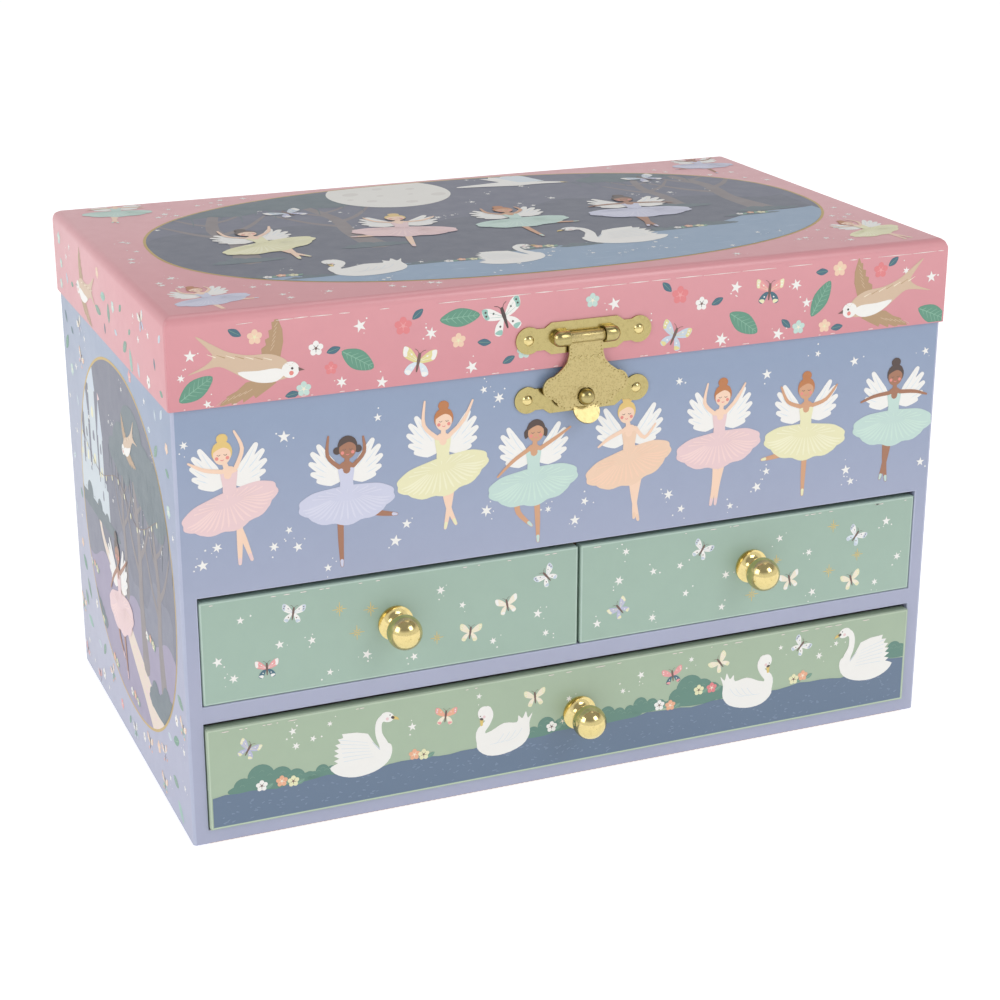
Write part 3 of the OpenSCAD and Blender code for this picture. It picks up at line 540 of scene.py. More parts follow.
def wrap_lid():
    x, y, top = LID_X + SKIN, LID_Y + SKIN, LID_TOP + SKIN
    wrap = finish_with(block("lid_wrap", (-x, -y, RIM + 0.06), (x, y, top)), FINISH["lid_paper"], FINISH["worn_lid"])
    cut_away(wrap, lambda at, way: way.z < -0.9)
    weights = wrap.data.attributes.new("bevel_weight_edge", "FLOAT", "EDGE")
    for edge, weight in zip(wrap.data.edges, weights.data):
        a, b = (wrap.data.vertices[i].co.z / MM for i in edge.vertices)
        weight.value = 1.0 if min(a, b) > top - 0.1 else 0.42 if abs(a - b) > 1 else 0.0
    worked(wrap, "BEVEL", width=3.3 * MM, segments=6, limit_method="WEIGHT")
    worked(wrap, "SOLIDIFY", thickness=PAPER * MM, offset=-1)
    smooth(wrap, 40)
    return place_on(wrap, "lid", "lid_paper")


def wrap_front(body, slot):
    """The paper over a drawer front, turned back over its four edges."""
    low, high = (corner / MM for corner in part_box(body + "_front"))
    low = low - Vector((DRAWER_SKIN, DRAWER_SKIN, DRAWER_SKIN))
    high = high + Vector((DRAWER_SKIN, 0, DRAWER_SKIN))
    wrap = finish_with(block(body + "_wrap", low, high), FINISH[slot], FINISH["worn_" + slot.split("_")[0]])
    cut_away(wrap, lambda at, way: way.y > 0.9)
    # the rounded edges of the front take the lighter edge paper: rubbed paper and a painted highlight
    round_edges(wrap, lambda at, way: at.y < high.y - 0.1, 0.75, 3, 1)
    worked(wrap, "SOLIDIFY", thickness=0.13 * MM, offset=-1)
    smooth(wrap, 40)
    return place_on(wrap, body, slot)


def line_walls(name, body, low, high, slot="lining_paper"):
    """Lining paper round the inside of four walls, with its faces turned inwards."""
    lining = block(name, low, high)
    cut_away(lining, lambda at, way: abs(way.z) > 0.9)
    round_edges(lining, lambda at, way: abs(way.z) > 0.9, 0.8, 3)
    edit(lining)
    bpy.ops.mesh.select_all(action="SELECT")
    bpy.ops.mesh.flip_normals()
    leave_all()
    worked(lining, "SOLIDIFY", thickness=0.18 * MM, offset=-1)
    smooth(lining, 40)
    return place_on(lining, body, slot, FINISH[slot])


wrap_case()
wrap_lid()
for body, slot in (("left_drawer", "sage_paper"), ("right_drawer", "sage_paper"), ("low_drawer", "green_paper")):
    wrap_front(body, slot)
    low, high = (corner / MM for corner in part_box(body + "_walls"))
    line_walls(body + "_lining", body, (low.x + 3.18, low.y + 0.05, low.z + 4.05),
        (high.x - 3.18, high.y - 3.18, high.z - 0.6))
line_walls("tray_lining", "case", (-134.82, -77.82, 93.05), (134.82, 77.82, 149.0))


# ---------------------------------------------------------------- printing
INKS = {
    "white": (246, 244, 240), "cream": (247, 236, 214), "frost": (222, 232, 240), "haze": (200, 212, 226),
    "rose": (238, 206, 208), "coral": (230, 128, 132), "petal": (238, 160, 160), "peach": (244, 208, 180),
    "apricot": (240, 176, 140),
    "butter": (238, 234, 190), "straw": (230, 218, 150), "mint": (196, 222, 214), "sea": (150, 196, 184),
    "lilac": (208, 210, 232), "mauve": (188, 190, 218),
    "leaf": (92, 150, 126), "vein": (136, 184, 158), "teal": (58, 104, 122), "moss": (92, 136, 122),
    "fern": (112, 152, 134),
    "taupe": (216, 188, 160), "brown": (182, 148, 110), "umber": (112, 84, 76), "soot": (66, 52, 50),
    "fair": (250, 214, 188), "olive": (214, 160, 122), "deep": (166, 112, 82), "blush": (236, 140, 130),
    "auburn": (190, 118, 62), "blond": (232, 198, 118), "dark": (72, 50, 42),
    "night": (98, 102, 124), "dusk": (112, 116, 138), "bark": (128, 118, 120), "shade": (86, 92, 112),
    "water": (140, 166, 194), "ripple": (168, 190, 212),
    "pond": (95, 117, 144), "speck": (116, 136, 164), "hill": (84, 104, 114), "path": (236, 218, 200),
    "stone": (204, 216, 224), "violet": (150, 140, 172),
    "rose2": (248, 216, 213), "lilac2": (218, 219, 238), "butter2": (246, 243, 208), "mint2": (205, 231, 219),
    "peach2": (251, 211, 183), "moon": (238, 236, 230), "crater": (226, 222, 216),
    "gold": (206, 176, 100), "sun": (226, 196, 110), "rubbed": (248, 232, 228),
}
METAL_INKS = {"gold"}
ink_pots = {}


def ink_pot(name):
    if name not in ink_pots:
        metal = 0.75 if name in METAL_INKS else 0.0
        ink_pots[name] = ink("ink_" + name, [c * 0.93 for c in INKS[name]], 0.38, metal)
    return ink_pots[name]


def swirl(points, closed=False, fine=4):
    """A smooth line through the points."""
    count, line = len(points), []
    for i in range(count if closed else count - 1):
        near = [points[(i + k) % count] if closed else points[min(max(i + k, 0), count - 1)] for k in (-1, 0, 1, 2)]
        for step in range(fine):
            t = step / fine
            line.append(tuple(
                0.5 * (2 * b + (c - a) * t + (2 * a - 5 * b + 4 * c - d) * t * t + (3 * b - a - 3 * c + d) * t**3)
                for a, b, c, d in zip(*near)
            ))
    return line if closed else line + [points[-1]]


def stroke(points, widths, fine=4):
    """A brush line along the points, as wide as the widths say from its start to its end, with round ends."""
    line = swirl(points, fine=fine) if len(points) > 2 else [points[0], tuple((a + b) / 2 for a, b in zip(*points)),
        points[1]]
    widths = widths if hasattr(widths, "__len__") else (widths, widths)
    left, right, last = [], [], len(line) - 1
    for i, (x, y) in enumerate(line):
        (ax, ay), (bx, by) = line[max(i - 1, 0)], line[min(i + 1, last)]
        reach = math.hypot(bx - ax, by - ay) or 1.0
        where = i / last * (len(widths) - 1)
        k = min(int(where), len(widths) - 2)
        half = (widths[k] + (widths[k + 1] - widths[k]) * (where - k)) / 2
        run, rise = (bx - ax) / reach * half, (by - ay) / reach * half
        across, along = (-rise, run), (run, rise)
        left.append((x + across[0], y + across[1]))
        right.append((x - across[0], y - across[1]))
        if i == 0:
            start = [(x - across[0] * 0.7 - along[0] * 0.7, y - across[1] * 0.7 - along[1] * 0.7),
                (x - along[0], y - along[1]), (x + across[0] * 0.7 - along[0] * 0.7,
                y + across[1] * 0.7 - along[1] * 0.7)]
        if i == last:
            end = [(x + across[0] * 0.7 + along[0] * 0.7, y + across[1] * 0.7 + along[1] * 0.7),
                (x + along[0], y + along[1]), (x - across[0] * 0.7 + along[0] * 0.7,
                y - across[1] * 0.7 + along[1] * 0.7)]
    return start + left + end + right[::-1]


def oval(x, y, across, up=None, turn=0.0, sides=16):
    up, c, s = across if up is None else up, math.cos(math.radians(turn)), math.sin(math.radians(turn))
    ring = [(across * math.cos(math.tau * i / sides), up * math.sin(math.tau * i / sides)) for i in range(sides)]
    return [(x + a * c - b * s, y + a * s + b * c) for a, b in ring]


def egg(x, y, across, up, power, sides=120):
    """A fuller oval, squarer than an ellipse."""
    ring = [(math.cos(math.tau * i / sides), math.sin(math.tau * i / sides)) for i in range(sides)]
    return [(x + across * math.copysign(abs(a) ** (2 / power), a),
        y + up * math.copysign(abs(b) ** (2 / power), b)) for a, b in ring]


def trimmed(outline, window):
    """What is left of an outline inside a convex window."""
    for (ax, ay), (bx, by) in zip(window, window[1:] + window[:1]):
        sides = [(bx - ax) * (y - ay) - (by - ay) * (x - ax) for x, y in outline]
        if all(s >= 0 for s in sides):
            continue
        kept = []
        for i, (p, s) in enumerate(zip(outline, sides)):
            q, t = outline[(i + 1) % len(outline)], sides[(i + 1) % len(outline)]
            if s >= 0:
                kept.append(p)
            if (s >= 0) != (t >= 0):
                share = s / (s - t)
                kept.append((p[0] + (q[0] - p[0]) * share, p[1] + (q[1] - p[1]) * share))
        outline = kept
        if len(outline) < 3:
            return []
    return outline


def twice_area(outline):
    return sum(ax * by - bx * ay for (ax, ay), (bx, by) in zip(outline, outline[1:] + outline[:1]))


def panel(left, low, right, high):
    return [(left, low), (right, low), (right, high), (left, high)]


FACES = {
    "front": lambda u, v, out: (u, -out, v),
    "left": lambda u, v, out: (-out, -u, v),
    "right": lambda u, v, out: (out, u, v),
    "back": lambda u, v, out: (-u, out, v),
    "top": lambda u, v, out: (u, v, out),
}


class Print:
    """One printed face: the inks lie over the paper, each a hair above the one before."""

    def __init__(self, name, face, out, window):
        self.name, self.face, self.out, self.window = name, FACES[face], out, window
        self.level, self.corners, self.faces, self.inks, self.names = 0, [], [], [], []
        self.chance = random.Random(name)

    def lay(self, outline, colour):
        outline = trimmed(outline, self.window)
        if len(outline) < 3 or abs(twice_area(outline)) < 0.02:
            return
        if twice_area(outline) < 0:
            outline = outline[::-1]
        if colour not in self.names:
            self.names.append(colour)
        height = self.out + 0.03 + self.level * 0.0016 + len(self.faces) % 7 * 0.0001
        start = len(self.corners)
        self.corners += [tuple(c * MM for c in self.face(x, y, height)) for x, y in outline]
        self.faces.append(range(start, start + len(outline)))
        self.inks.append(self.names.index(colour))
        self.level += 1

    def brush(self, x, y, size=1.0, turn=0.0, flip=1, level=0):
        """A brush that draws a motif around its own middle, at this place, size and turn."""
        self.level = level
        c, s = math.cos(math.radians(turn)) * size, math.sin(math.radians(turn)) * size
        return lambda outline, colour: self.lay([(x + a * flip * c - b * s,
            y + a * flip * s + b * c) for a, b in outline], colour)

    def done(self, body, slot):
        shape = bpy.data.meshes.new(self.name)
        shape.from_pydata(self.corners, [], self.faces)
        piece = finish_with(bpy.data.objects.new(self.name, shape), *(ink_pot(name) for name in self.names))
        shape.polygons.foreach_set("material_index", self.inks)
        bpy.context.collection.objects.link(piece)
        return place_on(piece, body, slot)


def star(paint, size=1.8, colour="white", points=5, lean=0.0):
    paint([(size * (1.0 if i % 2 == 0 else 0.4) * math.sin(math.pi * i / points + lean),
        size * (1.0 if i % 2 == 0 else 0.4) * math.cos(math.pi * i / points + lean)) for i in range(2 * points)],
        colour)


def star_group(page, x, y, size=1.8, level=0):
    """A hand-drawn star with a few dots round it."""
    r = page.chance
    star(page.brush(x, y, level=level), size, points=r.choice((5, 5, 6)), lean=r.uniform(-0.4, 0.4))
    for _ in range(r.choice((1, 2, 3))):
        angle, far = r.uniform(0, math.tau), r.uniform(2.2, 4.0)
        page.brush(x + far * math.cos(angle), y + far * math.sin(angle),
            level=level)(oval(0, 0, r.uniform(0.16, 0.34), sides=8), "white")


def burst(paint, size=2.4, colour="gold"):
    for k in range(8):
        angle, far = math.tau * k / 8, size * (1.0 if k % 2 == 0 else 0.62)
        paint(stroke([(0.25 * size * math.cos(angle), 0.25 * size * math.sin(angle)),
            (far * math.cos(angle), far * math.sin(angle))], (0.34, 0.18)), colour)
    paint(oval(0, 0, 0.3, sides=8), colour)


def bloom(paint, size=2.3, petals="petal", heart="cream"):
    for k in range(5):
        angle = math.tau * k / 5 + 0.3
        paint(oval(0.56 * size * math.cos(angle), 0.56 * size * math.sin(angle), 0.5 * size, 0.43 * size,
            math.degrees(angle), 12), petals)
    for k in range(5):
        angle = math.tau * k / 5 + 0.93
        paint(stroke([(0.2 * size * math.cos(angle), 0.2 * size * math.sin(angle)),
            (0.5 * size * math.cos(angle), 0.5 * size * math.sin(angle))], 0.12 * size * 0.6), heart)
    paint(oval(0, 0, 0.2 * size, sides=10), heart if petals != "white" else "umber")


def leaf(paint, length=15.0, width=7.0, colour="leaf", vein="vein", ribs=6):
    half = length / 2
    outline = swirl([(-half, 0), (-half * 0.55, width * 0.36), (0, width * 0.5), (half * 0.6, width * 0.33),
        (half, 0), (half * 0.6, -width * 0.33), (0, -width * 0.5), (-half * 0.55, -width * 0.36)], True, 3)
    paint(outline, colour)
    paint(stroke([(-half * 0.9, 0), (0, 0.12), (half * 0.9, 0)], (0.3, 0.12)), vein)
    for k in range(ribs):
        x = half * (-0.7 + 1.35 * k / max(ribs - 1, 1))
        reach = width * 0.36 * (1 - (x / half) ** 2)
        for side in (1, -1):
            paint(stroke([(x, 0), (x + reach * 0.5, side * reach * 0.55), (x + reach * 0.95, side * reach)],
                (0.22, 0.1), 3), vein)


def leaflet(paint, size=3.0, colour="teal"):
    paint(swirl([(-size, 0), (0, size * 0.52), (size, 0), (0, -size * 0.52)], True, 4), colour)
    paint(stroke([(-size * 0.8, 0), (size * 0.8, 0)], (0.2, 0.1)), "fern" if colour == "teal" else "vein")


def moth(paint, size=1.0, upper="cream", band="apricot", lower="sea", body="umber"):
    def scaled(points):
        return [(x * size, y * size) for x, y in points]
    for side in (1, -1):
        def wing(points, colour):
            paint([(x * side, y) for x, y in scaled(swirl(points, True, 3))], colour)
        wing([(0.3, -0.1), (2.4, -1.2), (3.4, -3.2), (1.9, -3.9), (0.5, -1.2)], lower)
        wing([(0.3, 0.5), (2.6, 3.0), (4.6, 3.4), (4.4, 1.0), (2.0, -0.2), (0.4, -0.3)], upper)
        wing([(3.3, 3.1), (4.6, 3.4), (4.4, 1.0), (3.4, 0.9), (3.5, 2.0)], band)
        wing([(2.3, -2.6), (3.3, -3.0), (1.9, -3.9), (1.4, -2.9)], band)
        for x, y in ((3.9, 2.6), (4.0, 1.7), (2.2, 1.6), (1.6, -1.9)):
            paint([(a * side, b) for a, b in scaled(oval(x, y, 0.26, sides=8))],
                "white" if upper != "white" else body)
        for a, b in (((0.5, 0.3), (3.0, 2.2)), ((0.6, 0.1), (3.2, 1.0))):
            paint([(x * side, y) for x, y in stroke(scaled([a, b]), (0.14, 0.08))], band)
        paint([(x * side, y) for x, y in stroke(scaled([(0.15, 1.8), (0.7, 2.7), (1.5, 3.1)]), 0.14 * size, 3)], body)
    paint(stroke(scaled([(0, 1.9), (0, 0.2), (0, -2.8)]), (0.75 * size, 0.95 * size, 0.35 * size)), body)


def songbird(paint):
    """A swallow-tailed bird flying to its right, 28 mm from beak to tail."""
    def serrated(front, tips, root):
        return front + tips + root
    paint(serrated([(5, -7), (9, -9)], [(6, -11), (2, -13.4), (1.4, -12.4), (-2, -14.4), (-2.2, -13.2), (-6, -15.2),
        (-5.8, -14), (-10, -15), (-9, -13.6), (-7, -12.2), (-7.6, -12), (-4, -10.4)], [(-1, -8)]), "brown")
    paint(serrated([(4.5, 0), (10.5, -0.8)], [(11.6, 4), (11.4, 8), (9.6, 13), (8.8, 10.8), (8.0, 10.6), (8.1, 8.4),
        (6.9, 8), (7.1, 5.8), (5.7, 5.2), (6.0, 3.4)], [(4.4, 2.4)]), "brown")
    for k in range(6):
        paint(stroke([(1 - k * 1.9, -10.3 - k * 0.5), (-1.6 - k * 1.8, -11.6 - k * 0.55)], 0.16), "taupe")
        paint(stroke([(7.4 + k * 0.3, 1.5 + k * 1.5), (8.6 + k * 0.25, 3.2 + k * 1.4)], 0.16), "taupe")
    body = [(-19.5, -3.6), (-13, -2.2), (-9, -2.0), (-5, -4.2), (0, -7.4), (5, -8.8), (10, -8.4), (13.4, -7.2),
        (13, -3), (10, -0.6), (6, 0.6), (0, 0.8), (-6, 2.4), (-10, 4.6), (-16.5, 8.6), (-13, 4.4), (-11.2, 1.4),
        (-14, -1.2)]
    paint(swirl(body, True, 3), "taupe")
    for k in range(7):
        paint(stroke([(-13 + 3 * k, 2.4 - 0.5 * k), (-10.4 + 3 * k, 1.2 - 0.45 * k)], (0.14, 0.3)),
            "brown" if k % 2 else "cream")
    paint(swirl([(-3.5, -4.4), (3, -4.6), (9, -4.4), (12, -6), (9, -8.6), (4, -8.6), (-0.4, -7)], True, 3), "white")
    paint(oval(13.6, -5.4, 2.9, 2.7, 0, 20), "white")
    for k in range(7):
        paint(oval(11.8 + 0.5 * k, -3.6 + 0.9 * math.sin(1.3 * k) * 0.5, 0.13, sides=6), "taupe")
    paint([(16.2, -4.8), (16.3, -6.1), (18.3, -5.9)], "umber")
    paint(oval(14.2, -5.0, 0.42, sides=10), "soot")
    paint(oval(13.9, -6.5, 0.75, sides=12), "blush")


def swan(paint, resting=False):
    """A swan on the water looking to its right: sailing with raised wings, or resting with its head tucked down."""
    if resting:
        paint(swirl([(-12, 3.6), (-13.2, 7.4), (-11.4, 5.6), (-10.6, 8.4), (-9.2, 5.8), (-7.6, 7.2), (-7, 4.6),
            (-2, 5.2), (3, 3.0), (7.5, 1.4), (8.6, -3), (4.6, -6.6), (-2, -7.2), (-9, -5), (-12, -1)], True, 3),
            "white")
        paint(stroke([(5.8, -2), (7.2, 3), (4.6, 6.4), (3.4, 9.4), (4.6, 11.6)], (5.6, 3.6, 2.6, 2.4, 3.2)), "white")
        paint(oval(5.6, 10.4, 2.6, 2.9, -24, 18), "white")
        paint([(6.0, 8.2), (7.5, 8.6), (7.2, 5.6), (6.4, 5.6)], "sun")
        paint(oval(6.8, 8.3, 0.75, 0.5, 20, 10), "soot")
        paint(oval(7.2, 9.5, 0.24, sides=8), "soot")
        paint(oval(5.8, 9.0, 0.6, sides=10), "rose")
        for k in range(4):
            paint(stroke([(-9 + 2.4 * k, 1.8 - 0.3 * k), (-6.6 + 2.4 * k, -1.2 - 0.3 * k), (-3 + 2.2 * k, -2.4)],
                (0.2, 0.1), 3), "frost")
        return
    paint(swirl([(-12, -2.2), (-9, -5.4), (-3, -7.2), (4, -6.4), (9, -3.6), (10.8, 0.6), (9.6, 3.6), (5, 1.6),
        (-4, 1.2), (-9, -0.6)], True, 3), "white")
    wing = [(-12.4, -2.0), (-8.4, -1.2), (-10.6, 0.4), (-8.6, 1.0), (-10.6, 2.4), (-8.8, 3.0), (-10.4, 4.4),
        (-8.6, 4.8), (-10.0, 6.4), (-8.0, 6.8), (-9.0, 8.4), (-7.0, 8.6), (-7.4, 10.2), (-2, 9.8), (2, 8.6),
        (4.2, 4.6), (7.0, 1.2), (4, -2.6), (-3, -3.4)]
    paint(wing, "white")
    paint(stroke([(8.2, -1), (7.8, 3), (6.0, 7.6), (6.2, 12.2), (8.6, 14.0)], (4.6, 3.4, 2.5, 2.3, 3.0)), "white")
    paint(oval(9.2, 13.6, 2.5, 1.9, -22, 18), "white")
    paint([(11.0, 13.9), (11.2, 12.5), (13.6, 11.8), (12.9, 13.0)], "sun")
    paint(oval(11.2, 13.1, 0.7, 0.55, -30, 10), "soot")
    paint(oval(10.2, 14.2, 0.24, sides=8), "soot")
    paint(oval(9.2, 12.9, 0.6, sides=10), "rose")
    for k in range(6):
        paint(stroke([(-8.2 + 0.25 * k, 8.0 - 1.7 * k), (-3 + 0.3 * k, 6.6 - 1.4 * k),
            (1.8 + 0.4 * k, 5.2 - 1.15 * k)], (0.22, 0.1), 3), "frost")
    paint(stroke([(3.6, 5.0), (6.2, 1.8)], (0.14, 0.3)), "haze")


def flying_swan(paint):
    paint(stroke([(-15, -1), (-8, -0.4), (0, 0), (7, -0.6), (13, -1.6)], (1.2, 3.4, 6.2, 3.0, 1.4)), "white")
    for shift, lean in ((0, 0), (4, 1)):
        paint([(-2 + shift, 1), (-7 + shift, 8 + lean), (-4.6 + shift, 7.6 + lean), (-4 + shift, 9.4 + lean),
            (-1.6 + shift, 8.2 + lean), (-0.4 + shift, 9.4 + lean), (1.4 + shift, 7.2 + lean), (5 + shift, 1)],
            "frost" if shift else "white")
    paint([(12.6, -0.8), (12.8, -2.0), (14.8, -2.2)], "sun")


# how the dancers stand: arms and legs as joints from the shoulder or the hip, tutu tilt, lean of the head
POSES = {
    "open": dict(arms=([(-2.2, 12.4), (-8, 13.6), (-13, 16.4)], [(2.4, 13.4), (4.6, 19.4), (2.2, 25.4)]),
    legs=([(2.8, -5), (2.6, -13), (2.4, -19.5)], [(1.6, -5), (4, -11), (6.4, -18.6)]), tilt=17, lean=-2.0),
    "crown": dict(arms=([(-2.4, 12.2), (-6.2, 16.4), (-5.8, 23.0)], [(2.4, 12.2), (6.2, 16.4), (6.0, 21.6)]),
    legs=([(-2.4, -5), (-2.4, -14), (-2.2, -22)], [(6, -4), (12, -5.6), (17, -6.6)]), tilt=2, lean=0.6),
    "reach": dict(arms=([(-2.2, 12.6), (-6.6, 17.4), (-6.2, 25.4)], [(2.4, 13.0), (7.4, 17.6), (10.6, 24.0)]),
    legs=([(0.4, -5), (1.8, -12), (4.4, -18.4)], [(3.2, -4), (2.0, -12), (0.6, -19.4)]), tilt=12, lean=0.4),
    "swing": dict(arms=([(-2.0, 12.2), (-7.6, 8.8), (-13, 4.0)], [(2.4, 12.2), (8.0, 15.2), (13.4, 18.4)]),
    legs=([(1.2, -4), (1.6, -13), (1.8, -21)], [(-6, -5), (-5.4, -9.8), (-0.6, -15)]), tilt=6, lean=0.8),
    "bow": dict(arms=([(-2.2, 12.2), (-7.6, 10.0), (-11.6, 7.4)], [(2.2, 12.6), (5.8, 8.8), (9.8, 13.2)]),
    legs=([(1.2, -6), (2.4, -14), (4.0, -21)], [(3.8, -6), (2.6, -14), (2.4, -20)]), tilt=14, lean=-1.2),
    "lift": dict(arms=([(-2.2, 12.4), (-6.0, 16.6), (-5.0, 23.4)], [(2.2, 12.4), (6.4, 16.6), (9.6, 22.0)]),
    legs=([(-1.0, -5), (-1.2, -13), (-2.4, -21)], [(2.0, -5), (0.2, -13), (-0.6, -21)]), tilt=4, lean=1.0),
    "wide": dict(arms=([(-2.4, 12.2), (-7.6, 14.6), (-10.4, 20.2)], [(2.4, 12.2), (7.8, 13.8), (12.0, 18.6)]),
    legs=([(0.2, -5), (0.0, -13), (0.0, -21)], [(-6, -4), (-11.6, -5.0), (-17, -5.6)]), tilt=-4, lean=-0.4),
    "curtsy": dict(arms=([(-2.2, 12.2), (-8.4, 11.6), (-13.6, 10.0)], [(2.2, 12.2), (8.4, 11.6), (13.6, 10.0)]),
    legs=([(-1.0, -6), (-2.4, -14), (-4.0, -20)], [(-2.6, -6), (-2.4, -14), (-1.4, -21)]), tilt=0, lean=0.0),
}


def feather_wing(paint, side):
    for angle, reach in ((182, 8.0), (167, 10.2), (151, 12.0), (137, 13.4), (124, 13.8)):
        a = math.radians(angle)
        dx, dy = side * abs(math.cos(a)), math.sin(a)
        x0, y0 = side * 1.4, 8.6
        paint(stroke([(x0, y0), (x0 + dx * reach * 0.5, y0 + dy * reach * 0.5 - 0.6),
            (x0 + dx * reach, y0 + dy * reach)], (1.8, 3.4, 1.7)), "white")
        paint(stroke([(x0 + dx * reach * 0.3, y0 + dy * reach * 0.3 - 0.4),
            (x0 + dx * reach * 0.62, y0 + dy * reach * 0.6 - 0.5), (x0 + dx * reach * 0.9, y0 + dy * reach * 0.9)],
            (0.2, 0.34, 0.14), 3), "frost")


def dancer(paint, pose, dress="rose", skin="fair", hair="auburn", style="bun", wings=True):
    """A printed dancer with feather wings, drawn round the middle of the tutu, 45 mm from raised hand to toe."""
    stance = POSES[pose]
    if wings:
        for side in (-1, 1):
            feather_wing(paint, side)
    for leg in stance["legs"]:
        paint(stroke(leg, (2.3, 1.9, 1.1)), skin)
        (ax, ay), (bx, by) = leg[-2], leg[-1]
        paint(stroke([(bx + (ax - bx) * 0.22, by + (ay - by) * 0.22), (bx, by)], (1.2, 0.8)), dress)
    tilt = math.radians(stance["tilt"])
    skirt = []
    for i in range(72):
        a = math.tau * i / 72
        low = max(0.0, -math.sin(a))
        x = 16.2 * math.cos(a)
        y = (5.6 + 1.5 * low) * math.sin(a) + 1.4 * math.cos(a) ** 2 * (0.7 + 0.3 * math.sin(a))
        swell = 1 + 0.15 * low**0.5 * (abs(math.sin(5.0 * a)) - 0.3) + 0.012 * math.sin(9 * a)
        swell += 0.05 * low * abs(math.sin(7 * a))
        skirt.append((x * swell, y * swell))
    def tilted(points):
        return [(x * math.cos(tilt) - y * math.sin(tilt), x * math.sin(tilt) + y * math.cos(tilt)) for x, y in points]
    paint(tilted(skirt), dress)
    light = dress + "2"
    for k in range(17):
        a = math.radians(190 + 10 * k)
        tip = (15.2 * math.cos(a), 6.6 * math.sin(a) + 0.6)
        paint(tilted(stroke([(tip[0] * 0.36, 1.6 + tip[1] * 0.2), (tip[0] * 0.78, tip[1] * 0.72), tip],
            (0.2, 0.7, 0.3), 3)), light)
    for k in range(9):
        a = math.radians(20 + 17 * k)
        paint(tilted(stroke([(5.5 * math.cos(a), 1.2 + 2 * math.sin(a)),
            (12.6 * math.cos(a), 1.0 + 4.0 * math.sin(a))], (0.16, 0.5))), light)
    lean = stance["lean"]
    paint(swirl([(-2.0, 4.6), (2.0, 4.6), (2.2, 7.4), (2.9, 12.4), (1.6, 12.0), (0, 11.0), (-1.6, 12.0), (-2.9, 12.4),
        (-2.2, 7.4)], True, 2), dress)
    paint(stroke([(lean * 0.2, 11.0), (lean * 0.4, 13.6), (lean * 0.8, 15.8)], (2.6, 1.8, 1.5)), skin)
    paint(swirl([(-2.8, 12.2), (-1.2, 13.8), (1.2, 13.8), (2.8, 12.2), (1.4, 11.6), (0, 10.9), (-1.4, 11.6)], True,
        2), skin)
    for arm in stance["arms"]:
        paint(stroke(arm, (1.5, 1.3, 0.7)), skin)
    hx, hy = lean, 18.4
    if style == "bun":
        paint(oval(hx - lean * 0.1, hy + 4.9, 1.9, 1.7, 0, 16), hair)
    paint(oval(hx, hy + 0.5, 3.4, 3.7, 0, 22), hair)
    if style == "bob":
        paint(swirl([(hx - 3.6, hy + 1), (hx - 3.9, hy - 2.2), (hx - 2.2, hy - 1.6), (hx + 2.2, hy - 1.6),
            (hx + 3.9, hy - 2.2), (hx + 3.6, hy + 1)], True, 3), hair)
    if style == "buns":
        for side in (-1, 1):
            paint(oval(hx + side * 3.6, hy - 0.6, 1.3, sides=14), hair)
    paint(oval(hx, hy - 0.5, 2.9, 3.2, 0, 22), skin)
    paint(swirl([(hx - 3.0, hy + 0.6), (hx - 1.6, hy + 1.3), (hx + 0.4, hy + 2.0), (hx + 2.0, hy + 1.4),
        (hx + 3.0, hy + 0.4), (hx + 2.6, hy + 3.0), (hx, hy + 4.1), (hx - 2.6, hy + 3.0)], True, 3), hair)
    for side in (-1, 1):
        paint(stroke([(hx + side * 0.6, hy - 0.35), (hx + side * 1.1, hy - 0.62), (hx + side * 1.6, hy - 0.35)], 0.2,
            3), "umber")
        paint(oval(hx + side * 1.75, hy - 1.5, 0.6, sides=12), "blush")
    paint(stroke([(hx - 0.45, hy - 2.1), (hx, hy - 2.3), (hx + 0.45, hy - 2.1)], 0.26, 3), "coral")


def bush(paint, width=18.0, height=6.0, colour="moss", light="fern"):
    half = width / 2
    for x, y, r in ((-0.72, 0.1, 0.42), (-0.3, 0.42, 0.6), (0.16, 0.26, 0.5), (0.5, 0.12, 0.42), (0.82, 0.0, 0.3)):
        paint(oval(x * half, y * height, r * height, sides=22), colour)
    paint(oval(0, 0, half * 1.08, height * 0.36, sides=40), colour)
    for x, y in ((-0.5, 0.5), (-0.28, 0.72), (-0.1, 0.5), (0.2, 0.5), (0.36, 0.3), (0.6, 0.24), (-0.74, 0.2)):
        paint(stroke([(x * half - 0.8, y * height - 0.4), (x * half, y * height + 0.15),
            (x * half + 0.8, y * height - 0.4)], 0.2, 3), light)


def tree(paint, height=60.0, lean=6.0, colour="bark", leaf_colour="hill", hanging=10):
    paint(stroke([(0, 0), (lean * 0.3, height * 0.3), (lean * 0.1, height * 0.6), (lean, height)],
        (height * 0.13, height * 0.075, height * 0.06, height * 0.04)), colour)
    for share, dx, dy, w in ((0.42, -14, 20, 2.6), (0.5, 16, 18, 2.4), (0.66, -10, 16, 1.8), (0.72, 13, 12, 1.6)):
        x, y = lean * 0.3, height * share
        paint(stroke([(x, y), (x + dx * 0.5, y + dy * 0.35), (x + dx, y + dy)], (w, w * 0.7, w * 0.3)), colour)
    for x, y, r in ((-12, 0.98, 9), (0, 1.08, 12), (13, 1.0, 9), (-4, 0.92, 7), (7, 0.9, 7)):
        paint(oval(x + lean * 0.5, height * y, r, r * 0.62, 0, 22), leaf_colour)
    for k in range(hanging):
        x = -20 + 40 * k / max(hanging - 1, 1)
        drop = 10 + 7 * math.sin(2.1 * k)
        paint(stroke([(x, height * 0.96), (x + 1, height * 0.96 - drop * 0.5), (x - 0.6, height * 0.96 - drop)],
            (0.7, 0.5, 0.2)), leaf_colour)


